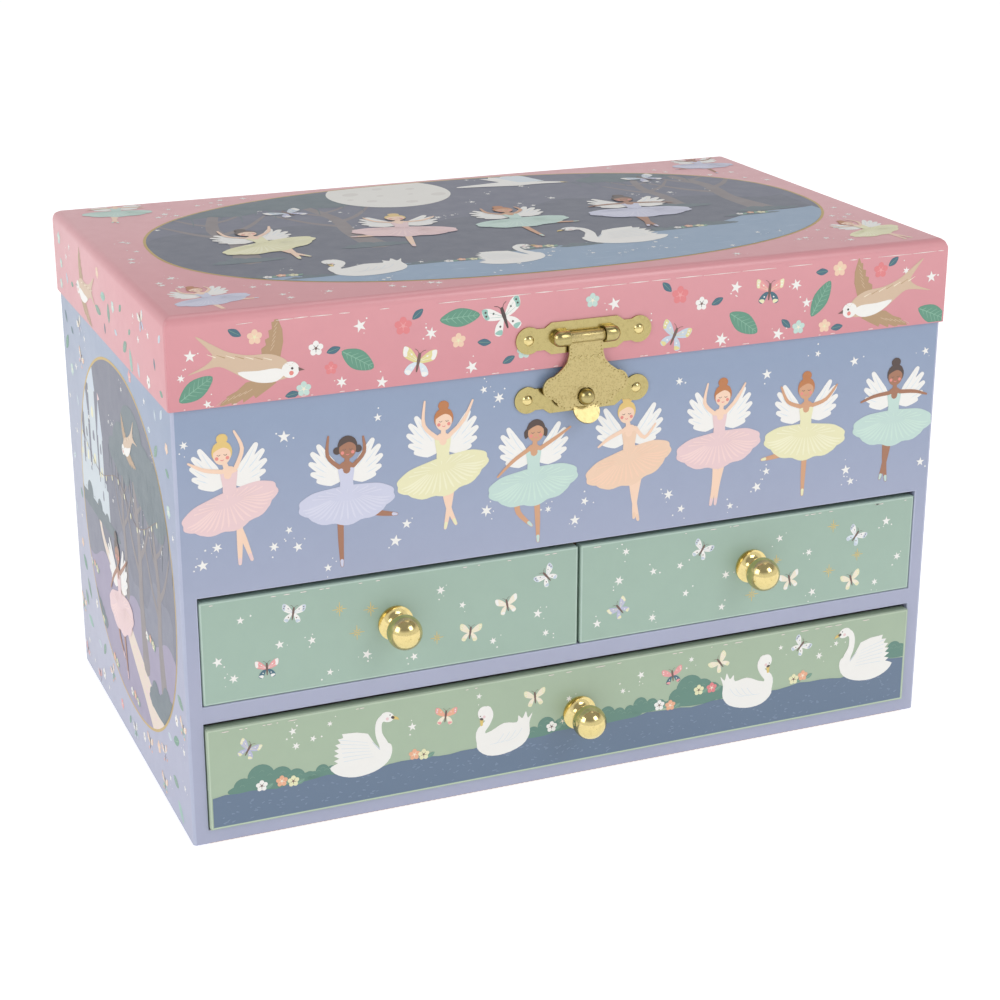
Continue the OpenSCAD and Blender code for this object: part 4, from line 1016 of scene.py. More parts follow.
def tower(paint, width=8.0, height=34.0, colour="stone", roof="haze"):
    half = width / 2
    paint([(-half, 0), (half, 0), (half * 0.9, height), (-half * 0.9, height)], colour)
    paint([(-half * 1.15, height), (half * 1.15, height), (half * 1.15, height + 1.4), (-half * 1.15, height + 1.4)],
        roof)
    paint([(-half * 1.1, height + 1.4), (half * 1.1, height + 1.4), (0, height + width * 2.1)], roof)
    paint([(-half * 0.05, height + width * 2.0), (half * 0.9, height + width * 2.2),
        (-half * 0.05, height + width * 2.45)], "rose")
    for k in range(int(height // 9)):
        y = 4 + 9 * k
        paint(swirl([(-width * 0.13, y), (width * 0.13, y), (width * 0.13, y + 2.6), (0, y + 3.8),
            (-width * 0.13, y + 2.6)], True, 2), "butter" if k % 2 else "dusk")
    for k in range(int(height // 4)):
        x = half * 0.5 * (1 if k % 2 else -1)
        paint(stroke([(x - 0.7, 3 + 4 * k), (x + 0.7, 3 + 4 * k)], 0.16), roof)


def posy(page, x, y, level=0):
    """Three small flowers in the grass, with leaves."""
    r = page.chance
    for dx, dy, colour in ((-4.4, 0.0, "white"), (0.4, 0.6, "apricot"), (4.4, -0.3, "butter")):
        leaflet(page.brush(x + dx + 2, y + dy - 0.4, turn=r.uniform(20, 70), level=level), 1.7, "fern")
        bloom(page.brush(x + dx, y + dy, level=level + 2), r.uniform(1.3, 1.8), colour,
            "umber" if colour != "apricot" else "cream")


def confetti(page, places, keep=lambda x, y: True, greens=("leaf", "sea", "fern"),
    blooms=("petal", "white", "peach", "mint")):
    """Leaves, flowers, moths and stars scattered over a face, none over another."""
    r, taken = page.chance, []
    (x0, y0), (x1, y1) = page.window[0], page.window[2]
    for _ in range(places * 9):
        x, y = r.uniform(x0 + 2.5, x1 - 2.5), r.uniform(y0 + 2.5, y1 - 2.5)
        if not keep(x, y) or any((x - a) ** 2 + (y - b) ** 2 < 62 for a, b in taken):
            continue
        taken.append((x, y))
        kind, turn = r.random(), r.uniform(0, 360)
        if kind < 0.22:
            leaf(page.brush(x, y, turn=turn), r.uniform(6.5, 9), r.uniform(3, 3.8), r.choice(greens), "vein", 4)
        elif kind < 0.42:
            leaflet(page.brush(x, y, turn=turn), r.uniform(1.8, 2.6), r.choice(("teal", "haze", "leaf")))
        elif kind < 0.66:
            bloom(page.brush(x, y, turn=turn), r.uniform(1.7, 2.4), r.choice(blooms))
        elif kind < 0.74:
            moth(page.brush(x, y, turn=r.uniform(-40, 40)), 0.85, r.choice(("cream", "petal", "white")),
                r.choice(("apricot", "haze")), r.choice(("sea", "mauve")))
        else:
            star_group(page, x, y, r.uniform(1.2, 1.8))
        if len(taken) >= places:
            break


# ---------------------------------------------------------------- what is printed on each face
def print_lid_front():
    page = Print("lid_front_print", "front", LID_Y + SKIN, panel(-140.2, 152.4, 140.2, 178.4))
    songbird(page.brush(-115, 167))
    songbird(page.brush(115, 166.5, flip=-1, turn=4))
    for x, y, turn, length, width in ((-132, 158.6, 33, 13, 6.4), (-79, 162.4, -32, 12.5, 6.6),
        (-44, 172.6, 2, 14, 6.2), (60, 160, -36, 13.5, 6.8), (90, 165.5, 60, 14, 6.0), (136, 155.4, -24, 13, 6.6)):
        leaf(page.brush(x, y, turn=turn), length, width)
    for x, y, turn in ((-119, 175.4, -30), (-87, 166.4, 15), (-58.5, 175.2, 40), (-35.6, 163.4, -8), (-27, 156.6, 25),
        (30.4, 175.4, -45), (49.6, 168.6, 25), (90, 175, 0), (76.6, 158, -42), (118.6, 176, 38), (-101, 153.4, 8),
        (97, 154.6, 6)):
        leaflet(page.brush(x, y, turn=turn), 2.4)
    for x, y, size, petals, heart in (
        (-63.5, 171.8, 2.9, "coral", "petal"), (-92.8, 167.6, 2.4, "white", "soot"),
        (-88, 160.6, 2.1, "coral", "petal"), (-44.6, 165, 2.4, "peach", "butter"),
        (-112.6, 173.4, 2.4, "peach", "butter"), (-97.2, 154.8, 2.4, "mint", "cream"),
        (-21.6, 158.8, 2.4, "mint", "cream"), (35.4, 172.2, 3.0, "coral", "petal"),
        (43.6, 168.4, 2.3, "white", "soot"), (97, 175.4, 2.6, "peach", "butter"),
        (113.6, 173.4, 2.7, "coral", "petal"), (81.6, 156.2, 2.4, "mint", "cream"),
        (92, 155.6, 2.3, "peach", "butter"), (3, 173.6, 2.4, "mint", "cream"),
    ):
        bloom(page.brush(x, y), size, petals, heart)
    moth(page.brush(-58.5, 159.6, turn=-12), 1.25, "straw", "white", "frost")
    moth(page.brush(-28.6, 171.4, turn=18), 1.45, "white", "sea", "white", "soot")
    moth(page.brush(69.6, 170.4, turn=-4), 1.15, "petal", "butter", "teal")
    moth(page.brush(33.6, 158.4, turn=-24), 1.2, "haze", "straw", "haze")
    for x, y, size in ((-133.4, 169.4, 2.1), (-78, 173.4, 2.3), (-54, 168.4, 2.2), (-84.6, 155.6, 2.0),
        (-71, 154, 2.1), (-40, 155.6, 2.3), (11, 171.6, 2.4), (56.6, 172.8, 2.3), (80, 171.4, 2.2),
        (84.4, 164.6, 1.9), (51.6, 155, 2.6), (73.6, 154.6, 2.3), (134.6, 169, 2.2), (-136.6, 162.6, 1.4),
        (-128.6, 153.4, 1.5), (22, 164.8, 1.5), (124, 172.2, 1.5)):
        star_group(page, x, y, size)
    # the white line where the paper has rubbed through along the top edge
    r, x = page.chance, -138.0
    while x < 138:
        length = r.uniform(2, 15) * (1.0 if x > -60 else 0.5)
        if r.random() < (0.9 if x > -55 else 0.45):
            page.level = 40
            page.lay(stroke([(x, 178.1 + r.uniform(-0.08, 0.08)),
                (min(x + length, 139), 178.1 + r.uniform(-0.08, 0.08))], (0.1, r.uniform(0.2, 0.42), 0.1)), "rubbed")
        x += length + r.uniform(0.2, 3.0)
    # and the small chips along its lower edge
    for _ in range(26):
        x = r.uniform(-138, 138)
        page.level = 40
        page.lay(oval(x, 152.5, r.uniform(0.3, 1.1), 0.16, sides=8), "rubbed")
    return page.done("lid", "lid_paper")


def print_case_front():
    page = Print("case_front_print", "front", CASE_Y + SKIN, panel(-139.4, 88.9, 139.4, 151.7))
    cast = (
        (-122.5, 118, "open", "rose", "fair", "blond", "bun"),
        (-83.5, 114.6, "crown", "lilac", "deep", "dark", "buns"),
        (-50, 120, "reach", "butter", "fair", "auburn", "bun"), (-17.5, 112, "swing", "mint", "olive", "dark", "bob"),
        (18, 114.4, "bow", "peach", "fair", "blond", "bun"), (52.6, 116, "lift", "rose", "fair", "auburn", "bun"),
        (87, 114.6, "wide", "butter", "olive", "auburn", "bun"),
        (123, 115.4, "curtsy", "mint", "deep", "dark", "bun"),
    )
    for x, y, pose, dress, skin, hair, style in cast:
        dancer(page.brush(x, y), pose, dress, skin, hair, style)
    for x, y, size in (
        (-132.4, 99.6, 2.0), (-127.4, 105, 1.8), (-108.6, 102.6, 1.8), (-100.6, 101.4, 1.8), (-103.4, 107.6, 1.4),
        (-104, 139.4, 2.2), (-67, 98.6, 2.2), (-63, 104, 1.8), (-34.6, 104.6, 2.2), (-30, 143.6, 2.0),
        (-35.4, 147, 1.4),
        (-2, 96.6, 2.0), (1.6, 103, 1.6), (-72.4, 142, 1.5), (33.6, 101, 2.0), (38.6, 95, 1.6), (68.4, 99, 2.0),
        (72, 104.4, 1.6), (70.6, 140.2, 2.0), (104.6, 100.6, 2.0), (106.8, 96, 1.6), (105.6, 141, 1.9),
        (136, 99.6, 1.8), (135, 141.6, 1.6), (-136.6, 140.6, 1.5), (36.6, 141.6, 1.6), (-12, 102, 1.3),
        (58, 93.4, 1.4), (-90.6, 92.6, 1.5), (90.6, 145.4, 1.3),
    ):
        star_group(page, x, y, size)
    return page.done("case", "case_paper")


def print_upper_drawers():
    faces = (
        ("left_drawer", -133.4, -1.6, (-103, 78.6, "white", "haze", "white", -10),
        (-112.6, 60.4, "petal", "white", "teal", 0), (-12.4, 77.6, "white", "haze", "white", 40),
        (-40.6, 61.4, "cream", "butter", "cream", -8), (-27, 69.4, "cream", "white", "cream", 10)),
        ("right_drawer", 1.6, 133.4, (15.6, 61, "mauve", "butter", "mauve", 38),
        (47.6, 78.4, "white", "haze", "white", -30), (83.6, 61.4, "cream", "white", "cream", 12),
        (110.6, 74.6, "white", "haze", "frost", -36), (109.6, 57.4, "cream", "butter", "cream", 16)),
    )
    for body, left, right, *moths in faces:
        page = Print(body + "_print", "front", 83.15, panel(left, 51.4, right, 85.6))
        for x, y, upper, band, lower, turn in moths:
            moth(page.brush(x, y, turn=turn), 0.86, upper, band, lower, "umber")
        taken = [(m[0], m[1]) for m in moths] + [(left / 2 + right / 2, 69.25)]
        r = page.chance
        while len(taken) < 26:
            x, y = r.uniform(left + 4, right - 4), r.uniform(54.5, 82.5)
            if any((x - a) ** 2 * 0.55 + (y - b) ** 2 < 58 for a, b in taken):
                if r.random() < 0.004:
                    break
                continue
            taken.append((x, y))
            if len(taken) % 4 == 0:
                burst(page.brush(x, y), r.uniform(2.0, 2.7), "sun")
            else:
                star_group(page, x, y, r.uniform(1.3, 1.9))
        for _ in range(14):
            x = r.uniform(left + 2, right - 2)
            page.level = 30
            page.lay(oval(x, 85.4, r.uniform(0.3, 1.3), 0.14, sides=8), "rubbed")
        page.done(body, "sage_paper")


def print_low_drawer():
    page = Print("low_drawer_print", "front", 84.55, panel(-133.4, 6.2, 133.4, 41.0))
    r = page.chance
    bushes = ((-112, 18.4, 30, 8.0), (-93, 18.4, 14, 4.0), (-9, 19.2, 24, 5.6), (14, 19.6, 20, 5.0),
        (27, 21.2, 20, 4.6), (47, 22.0, 22, 9.0), (131, 25, 12, 5))
    for x, y, width, height in bushes:
        bush(page.brush(x, y), width, height)
    bank = []
    for i in range(61):
        y = 17.0 + 3.0 * i / 60 + 0.5 * math.sin(i * 0.9) + 0.3 * math.sin(i * 2.3) + (3.2 if i > 55 else 0)
        bank.append((-133.4 + 266.8 * i / 60, y))
    page.level = 14
    page.lay([(-133.4, 6.2)] + [(133.4, 6.2)] + bank[::-1], "pond")
    for _ in range(300):
        x = r.uniform(-131, 131)
        y = r.uniform(7, 15 + 3.0 * (x + 133) / 266)
        page.level = 15
        page.lay(stroke([(x, y), (x + r.uniform(0.3, 1.1), y + r.uniform(-0.5, 0.5))], (r.uniform(0.2, 0.6), 0.2)),
            "speck")
    swan(page.brush(-80.6, 22.4, 0.98, level=18))
    swan(page.brush(-30.6, 20.6, 0.96, flip=-1, level=18), True)
    swan(page.brush(69, 21.0, 0.98, level=18), True)
    swan(page.brush(116.6, 23.4, 1.0, flip=-1, level=18))
    for x, y, turn, colours in (
        (-120.4, 33, -30, ("mauve", "butter", "mauve")), (-50.4, 32.4, -8, ("apricot", "petal", "cream")),
        (-17, 33.4, 4, ("cream", "butter", "cream")),
        (36.6, 32.4, 8, ("petal", "petal", "teal")), (55.6, 34, 36, ("cream", "butter", "cream")),
        (89, 35, -40, ("white", "haze", "white")),
    ):
        moth(page.brush(x, y, turn=turn), 0.85, *colours)
    for x, y, colour in ((-116.4, 18.6, "white"), (-109.4, 19.0, "apricot"), (-105.4, 18.2, "butter"),
        (-62, 19.8, "apricot"), (-58.6, 19.2, "butter"), (-10.6, 20.8, "white"), (-6.4, 22.2, "fern"),
        (31.6, 21.4, "white"), (36, 20.6, "apricot"), (47.4, 24.6, "butter"), (52.6, 24.6, "coral"),
        (86.6, 22.0, "butter"), (90.4, 22.8, "apricot")):
        leaflet(page.brush(x + 2.6, y - 0.6, turn=30, level=20), 1.6, "fern")
        bloom(page.brush(x, y, level=22), 2.0, colour, "umber" if colour in ("white", "butter") else "cream")
    for x, y, size in ((-105, 36.6, 1.5), (-98, 32.6, 1.3), (-104, 31, 1.5), (-62.6, 30.4, 1.7), (-4, 30.4, 1.3),
        (24, 34.6, 1.6), (17, 29.6, 1.2), (97, 29.6, 1.6), (104, 33.4, 1.2), (-38, 37.4, 1.2), (44, 37.2, 1.2),
        (80.6, 35.6, 1.1), (-92, 37, 1.1)):
        star_group(page, x, y, size)
    for _ in range(30):
        x = r.uniform(-130, 130)
        page.level = 50
        page.lay(oval(x, 40.7, r.uniform(0.3, 1.8), 0.14, sides=8), "rubbed")
    page.done("low_drawer", "green_paper")


def beyond(x, y, middle, height, across, up, power):
    """True outside an oval, for what is scattered round a window."""
    return (abs(x - middle) / across) ** power + (abs(y - height) / up) ** power > 1


def craters(page, level, sides, spots):
    for x, y, across in spots:
        page.brush(x, y, level=level)(oval(0, 0, across, across * 0.8, 20, sides), "crater")


def night_window(page, x, y, across, up, power, sky="night"):
    """A gold-edged oval of night sky; what comes after is trimmed to it."""
    whole = page.window
    page.level = 0
    page.lay(egg(x, y, across + 1.0, up + 1.0, power), "gold")
    page.lay(egg(x, y, across, up, power), sky)
    page.window = egg(x, y, across, up, power, 90)
    return whole


def print_lid_top():
    page = Print("lid_top_print", "top", LID_TOP + SKIN, panel(-137.0, -80.0, 137.0, 80.0))
    r = page.chance
    whole = night_window(page, 3, 2, 126, 76, 2.3)
    page.brush(0, 0, level=3)([(-124, -74)] + [(-124 + 248 * i / 50,
        16 + 9 * math.sin(i * 0.23) + 4 * math.sin(i * 0.61)) for i in range(51)] + [(124, -74)], "shade")
    for x, y, size, level, lean in ((-96, -22, 82, 4, 8), (-48, -16, 76, 4, -6), (106, -16, 80, 4, -8),
        (78, 0, 58, 4, 7)):
        tree(page.brush(x, y, size / 60, level=level), 60, lean)
        bush(page.brush(x, y - 1, level=level + 21), 24, 6, "hill", "shade")
    page.brush(-16, 62, level=26)(oval(0, 0, 24, sides=60), "moon")
    spots = ((-30, 66, 3.4), (-26, 52, 2.2), (-20, 60, 1.5), (-33, 57, 1.4), (-12, 46, 2.6), (-5, 68, 2.0),
        (2, 55, 3.2), (-17, 72, 2.2), (-8, 59, 1.2))
    craters(page, 28, 18, spots)
    shore = []
    for i in range(61):
        y = -48 + 16 * (i / 60) ** 1.3 * 2 + 2.4 * math.sin(i * 0.5) - 8 * math.sin(math.pi * i / 60)
        shore.append((-112 + 236 * i / 60, y))
    page.level = 25
    page.lay([(-112, -78), (126, -78)] + shore[::-1], "water")
    for _ in range(70):
        x = r.uniform(-85, 112)
        y = r.uniform(-72, -50 + 24 * max(0, x + 60) / 170)
        page.level = 26
        page.lay(stroke([(x, y), (x + r.uniform(2, 6), y + r.uniform(-0.3, 0.3))], (0.16, 0.4, 0.16)), "ripple")
    for i in range(3, 58, 5):
        bush(page.brush(shore[i][0], shore[i][1] - 1.0, level=28), r.uniform(16, 24), r.uniform(3.0, 5.0), "hill",
            "shade")
    for i in range(5, 58, 8):
        posy(page, shore[i][0], shore[i][1] + 0.6, 42)
    for x, y, size, lean, pose, dress, skin, hair in ((-83, -4, 1.15, 8, "reach", "butter", "fair", "dark"),
        (-32, 0, 1.15, -12, "wide", "rose", "fair", "blond"), (13, -2, 1.1, 0, "crown", "mint", "olive", "auburn"),
        (60, -3, 1.2, -8, "curtsy", "lilac", "deep", "dark")):
        dancer(page.brush(x, y, size, lean, level=70), pose, dress, skin, hair)
    swan(page.brush(-64, -48, 1.25, flip=-1, level=56), True)
    swan(page.brush(-12, -52, 1.1, level=56))
    swan(page.brush(36, -38, 1.35, flip=-1, level=56))
    flying_swan(page.brush(36, 62, 1.5, -6, level=56))
    for x, y in ((-62, 44), (88, 52)):
        moth(page.brush(x, y, 1, 20, level=56), 1.6, "haze", "white", "mauve")
    for _ in range(58):
        x, y = r.uniform(-120, 122), r.uniform(2, 76)
        if (x + 16) ** 2 + (y - 62) ** 2 > 700:
            star_group(page, x, y, r.uniform(0.9, 1.9), 2)
    for _ in range(26):
        star_group(page, r.uniform(-90, 112), r.uniform(-70, -36), r.uniform(0.8, 1.3), 41)
    page.window = whole
    corners = (
        (-120, 70, -8, "curtsy", "mint", "auburn"), (-121, -66, 10, "crown", "lilac", "auburn"),
        (122, 68, -6, "wide", "lilac", "dark"), (123, -62, 6, "open", "butter", "auburn"),
    )
    for x, y, turn, pose, dress, hair in corners:
        dancer(page.brush(x, y - 2, 0.78, turn), pose, dress, "fair" if hair == "auburn" else "deep", hair)
    placed = 0
    while placed < 46:
        x, y = r.uniform(-134, 134), r.uniform(-77.5, 77.5)
        if beyond(x, y, 3, 2, 130, 79.5, 2.3) and all((x - at[0]) ** 2 + (y - at[1]) ** 2 > 330 for at in corners):
            star_group(page, x, y, r.uniform(1.3, 1.9))
            placed += 1
    return page.done("lid", "lid_paper")


def castle_scene(page):
    """The left side: a castle in the trees, a path winding down to a dancer, and lights strung between the trunks."""
    r = page.chance
    page.brush(0, 0, level=3)([(-70, 20)] + [(-70 + 140 * i / 40,
        74 + 7 * math.sin(i * 0.4) + 3 * math.sin(i)) for i in range(41)] + [(70, 20)], "dusk")
    for x, y, width, height in ((-50, 82, 8, 30), (-38, 84, 11, 42), (-27, 82, 7, 28), (-60, 80, 7, 20)):
        tower(page.brush(x, y, level=5), width, height)
    page.level = 9
    page.lay([(-66, 78), (-18, 78), (-18, 92), (-66, 92)], "stone")
    for k in range(9):
        page.lay([(-66 + k * 5.4, 92), (-63.6 + k * 5.4, 92), (-63.6 + k * 5.4, 94.2), (-66 + k * 5.4, 94.2)],
            "stone")
    bush(page.brush(-40, 78, level=12), 70, 8, "hill", "shade")
    page.level = 14
    page.lay([(-75, 10), (75, 10)] + [(75 - 150 * i / 40, 60 + 4 * math.sin(i * 0.5)) for i in range(41)], "violet")
    page.lay(stroke([(-38, 80), (-30, 68), (-6, 58), (4, 46), (26, 34), (48, 20), (60, 8)],
        (2.4, 4, 6.5, 9, 13, 18, 24), 6), "path")
    for k in range(40):
        t = k / 39
        page.level = 16
        x, y = -30 + 84 * t + r.uniform(-4, 4) * (0.5 + t), 68 - 50 * t + r.uniform(-3, 3)
        page.lay(oval(x, y, 0.5 + t * 0.7, 0.3 + 0.4 * t, sides=8), "rose")
    for x, y, size, lean in ((28, 44, 1.28, -5), (54, 40, 1.2, -8), (4, 62, 0.86, 5)):
        tree(page.brush(x, y, size, level=17), 60, lean, "bark", "hill", 12)
    lights = swirl([(-58, 104), (-30, 96), (0, 103), (26, 94), (56, 106)], fine=6)
    for a, b in zip(lights, lights[1:]):
        page.level = 42
        page.lay(stroke([a, b], 0.3), "umber")
    for x, y in lights[::2]:
        page.level = 43
        page.lay(oval(x, y - 1.0, 0.8, 1.1, sides=10), "butter")
    for x in (-58, -48, 44, 60):
        bush(page.brush(x, 22 + abs(x) * 0.25, level=40), 26, 9, "hill", "shade")
    for x, y in ((-46, 34), (-26, 24), (6, 22), (36, 56), (-52, 52)):
        posy(page, x, y, 54)
    songbird(page.brush(20, 124, 0.7, 16, -1, level=44))
    dancer(page.brush(-8, 50, 1.2, 6, level=68), "swing", "rose", "deep", "dark", "bun")


def lake_scene(page):
    """The right side: the moon over the lake, swans on it, and a dancer on the bank."""
    r = page.chance
    page.brush(22, 122, level=3)(oval(0, 0, 13, sides=48), "moon")
    craters(page, 5, 14, ((15, 126, 2.0), (20, 114, 1.5), (29, 118, 1.8), (25, 129, 1.2), (18, 120, 0.9)))
    page.brush(0, 0, level=6)([(-72, 30)] + [(-72 + 144 * i / 40,
        82 + 6 * math.sin(i * 0.33) + 2.5 * math.sin(i)) for i in range(41)] + [(72, 30)], "dusk")
    page.brush(0, 0, level=8)([(-75, 20), (75, 20), (75, 66)] + [(75 - 150 * i / 40,
        66 + 1.2 * math.sin(i * 0.8)) for i in range(41)], "water")
    for _ in range(60):
        x, y = r.uniform(-66, 64), r.uniform(34, 64)
        page.level = 9
        page.lay(stroke([(x, y), (x + r.uniform(2, 6), y)], (0.16, 0.4, 0.16)), "ripple")
    page.brush(0, 0, level=11)([(-75, 8), (75, 8), (75, 30)] + [(75 - 150 * i / 40,
        32 + 4 * math.sin(i * 0.45)) for i in range(41)], "violet")
    for x, y, size, lean in ((-52, 44, 1.3, 7), (56, 44, 1.2, -7)):
        tree(page.brush(x, y, size, level=13), 60, lean, "bark", "hill", 12)
    swan(page.brush(-22, 56, 1.2, level=36))
    swan(page.brush(30, 52, 1.1, flip=-1, level=36))
    flying_swan(page.brush(-16, 120, 1.0, 10, level=36))
    for x in (-60, 60):
        bush(page.brush(x, 40, level=36), 26, 9, "hill", "shade")
    for x, y in ((-40, 34), (-20, 26), (24, 26), (40, 34)):
        posy(page, x, y, 50)
    dancer(page.brush(4, 40, 1.15, level=64), "lift", "mint", "fair", "auburn")


def print_sides_and_back():
    for side, scene in (("left", castle_scene), ("right", lake_scene)):
        middle = 6 if side == "left" else -6
        page = Print(side + "_side_print", side, CASE_X + SKIN, panel(-82, 1.5, 82, 151.0))
        whole = night_window(page, middle, 81, 69, 64, 2.15)
        page.window = whole
        confetti(page, 74, lambda x, y: beyond(x, y, middle, 81, 74, 69, 2.15))
        page.window = egg(middle, 81, 69, 64, 2.15, 90)
        scene(page)
        for _ in range(26):
            star_group(page, page.chance.uniform(-62, 70), page.chance.uniform(88, 142),
                page.chance.uniform(0.9, 1.6), 3)
        page.done("case", "case_paper")
        page = Print("lid_" + side + "_print", side, LID_X + SKIN, panel(-82.6, 152.6, 82.6, 178.2))
        songbird(page.brush(-30, 166, 0.9, -6, 1 if side == "right" else -1))
        confetti(page, 40, lambda x, y: abs(x + 30) > 19)
        page.done("lid", "lid_paper")
    page = Print("case_back_print", "back", CASE_Y + SKIN, panel(-139, 1.5, 139, 150.8))
    company = (
        (-92, 62, "lift", "rose", "fair", "auburn"), (-48, 86, "curtsy", "butter", "deep", "dark"),
        (40, 60, "crown", "mint", "olive", "auburn"), (98, 84, "open", "lilac", "fair", "blond"),
    )
    for x, y, pose, dress, skin, hair in company:
        dancer(page.brush(x, y, 1.2), pose, dress, skin, hair)

    def free(x, y):
        at_hinge, at_key = abs(abs(x) - 85) < 16 and y > 132, (x + 14) ** 2 + (y - 107) ** 2 <= 330
        return not at_hinge and not at_key and all((x - at[0]) ** 2 + (y - at[1]) ** 2 > 900 for at in company)

    confetti(page, 110, free)
    page.done("case", "case_paper")
    page = Print("lid_back_print", "back", LID_Y + SKIN, panel(-140, 152.6, 140, 178.2))
    songbird(page.brush(-46, 166, 0.9))
    songbird(page.brush(46, 166, 0.9, 0, -1))
    confetti(page, 56, lambda x, y: abs(abs(x) - 46) > 19 and not (abs(abs(x) - 85) < 16 and y < 170))
    page.done("lid", "lid_paper")


print_lid_front()
print_case_front()
print_upper_drawers()
print_low_drawer()
print_lid_top()
print_sides_and_back()


# ---------------------------------------------------------------- the hasp's chasing
def chase_flap():
    """Punched beads along the flap's edge and a row of small chevrons, standing 0.1 mm off its face."""
    face_y, shape = -86.5, bmesh.new()
    shape.from_mesh(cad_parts["clasp_flap"].data)
    bmesh.ops.remove_doubles(shape, verts=shape.verts, dist=1e-6)
    middles = {f: f.calc_center_median() / MM for f in shape.faces if f.normal.y < -0.99}
    flat = {f for f, middle in middles.items() if abs(middle.y - face_y) < 0.05 and middle.z > 137.4}
    rim = [e for e in shape.edges if len([f for f in e.link_faces if f in flat]) == 1]
    beads, spent = [], []
    bead_r, bead_step, punch_step, rim_inset, chevron_z = 0.27, 0.95, 0.3, 0.75, 154.9
    for edge in sorted(rim, key=lambda e: (round(e.verts[0].co.z, 5), round(e.verts[0].co.x, 5))):
        a, b = edge.verts[0].co / MM, edge.verts[1].co / MM
        inside = next(f for f in edge.link_faces if f in flat).calc_center_median() / MM
        along = (b - a).normalized()
        across = Vector((-along.z, 0, along.x))
        if across.dot(inside - a) < 0:
            across = -across
        tries = max(1, round((b - a).length / punch_step))
        for k in range(tries):
            at = a + (b - a) * (k + 0.5) / tries + across * rim_inset
            off_the_hole = at.x**2 + (at.z - 141.6) ** 2 > 4.2**2
            if 138.2 < at.z < 158.5 and off_the_hole and all((at - other).length > bead_step for other in spent):
                spent.append(at)
    shape.free()
    for at in spent:
        leave_all()
        bpy.ops.mesh.primitive_uv_sphere_add(segments=8, ring_count=5, radius=bead_r * MM,
            location=(at.x * MM, (face_y + 0.04) * MM, at.z * MM))
        beads.append(settle(bpy.context.object))
    for k in range(5):
        x = -4.4 + 2.2 * k
        for side in (1, -1):
            bar = block("chevron_bar", (x - 0.75, face_y - 0.12, chevron_z - 0.13),
                (x + 0.75, face_y + 0.2, chevron_z + 0.13))
            take(bar)
            bpy.ops.object.mode_set(mode="EDIT")
            bpy.ops.mesh.select_all(action="SELECT")
            bpy.ops.transform.rotate(value=math.radians(38 * side), orient_axis="Y",
                center_override=(x * MM, face_y * MM, chevron_z * MM))
            bpy.ops.transform.translate(value=(0, 0, side * 0.44 * MM))
            leave_all()
            round_edges(bar, lambda at, way: at.y < face_y - 0.1, 0.08, 2)
            beads.append(bar)
    chasing = smooth(joined("flap_chasing", beads), 40)
    return place_on(chasing, "hasp", "brass", FINISH["brass_plate"])


# ---------------------------------------------------------------- the tray's felt and ring rolls
def ripple(piece, depth, size):
    """Lets a laid cloth swell a little, as cloth does over glue."""
    texture = bpy.data.textures.new(piece.name + "_lie", "CLOUDS")
    texture.noise_scale = size * MM
    return worked(piece, "DISPLACE", texture=texture, texture_coords="GLOBAL", direction="Z", mid_level=0.5,
        strength=depth * MM)


FELT_LOW, FELT_TOP = 93.1, 94.0


def lay_felt():
    for name, left, near, right, far in (
        ("felt_left_front", -134.6, -77.6, -48.4, -18.2), ("felt_left_rear", -134.6, -14.4, -48.4, 77.6),
        ("felt_centre", -44.6, -77.6, 44.6, 1.6), ("felt_right", 48.4, -77.6, 134.6, 77.6),
    ):
        felt = block(name, (left, near, FELT_LOW), (right, far, FELT_TOP))
        choose(felt, "FACE", lambda at, way: way.z > 0.9)
        bpy.ops.mesh.inset(thickness=0.7 * MM, depth=0)
        leave_all()
        inner = lambda at: left + 0.1 <= at.x <= right - 0.1 and near + 0.1 <= at.y <= far - 0.1
        choose(felt, "EDGE", lambda at, way: at.z > FELT_TOP - 0.1 and not inner(at))
        bpy.ops.transform.translate(value=(0, 0, -0.35 * MM))
        leave_all()
        choose(felt, "FACE", lambda at, way: way.z > 0.99)
        bpy.ops.mesh.subdivide(number_cuts=26)
        leave_all()
        ripple(felt, 0.22, 14)
        smooth(felt, 50)
        place_on(felt, "case", "felt", FINISH["felt"])
        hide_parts("tray_felt")


ROLL_LEFT, ROLL_RIGHT, ROLL_HEIGHT, ROLL_RADIUS = -134.2, -48.8, 103.15, 9.0
ROLL_SWELL = 1.4 * MM


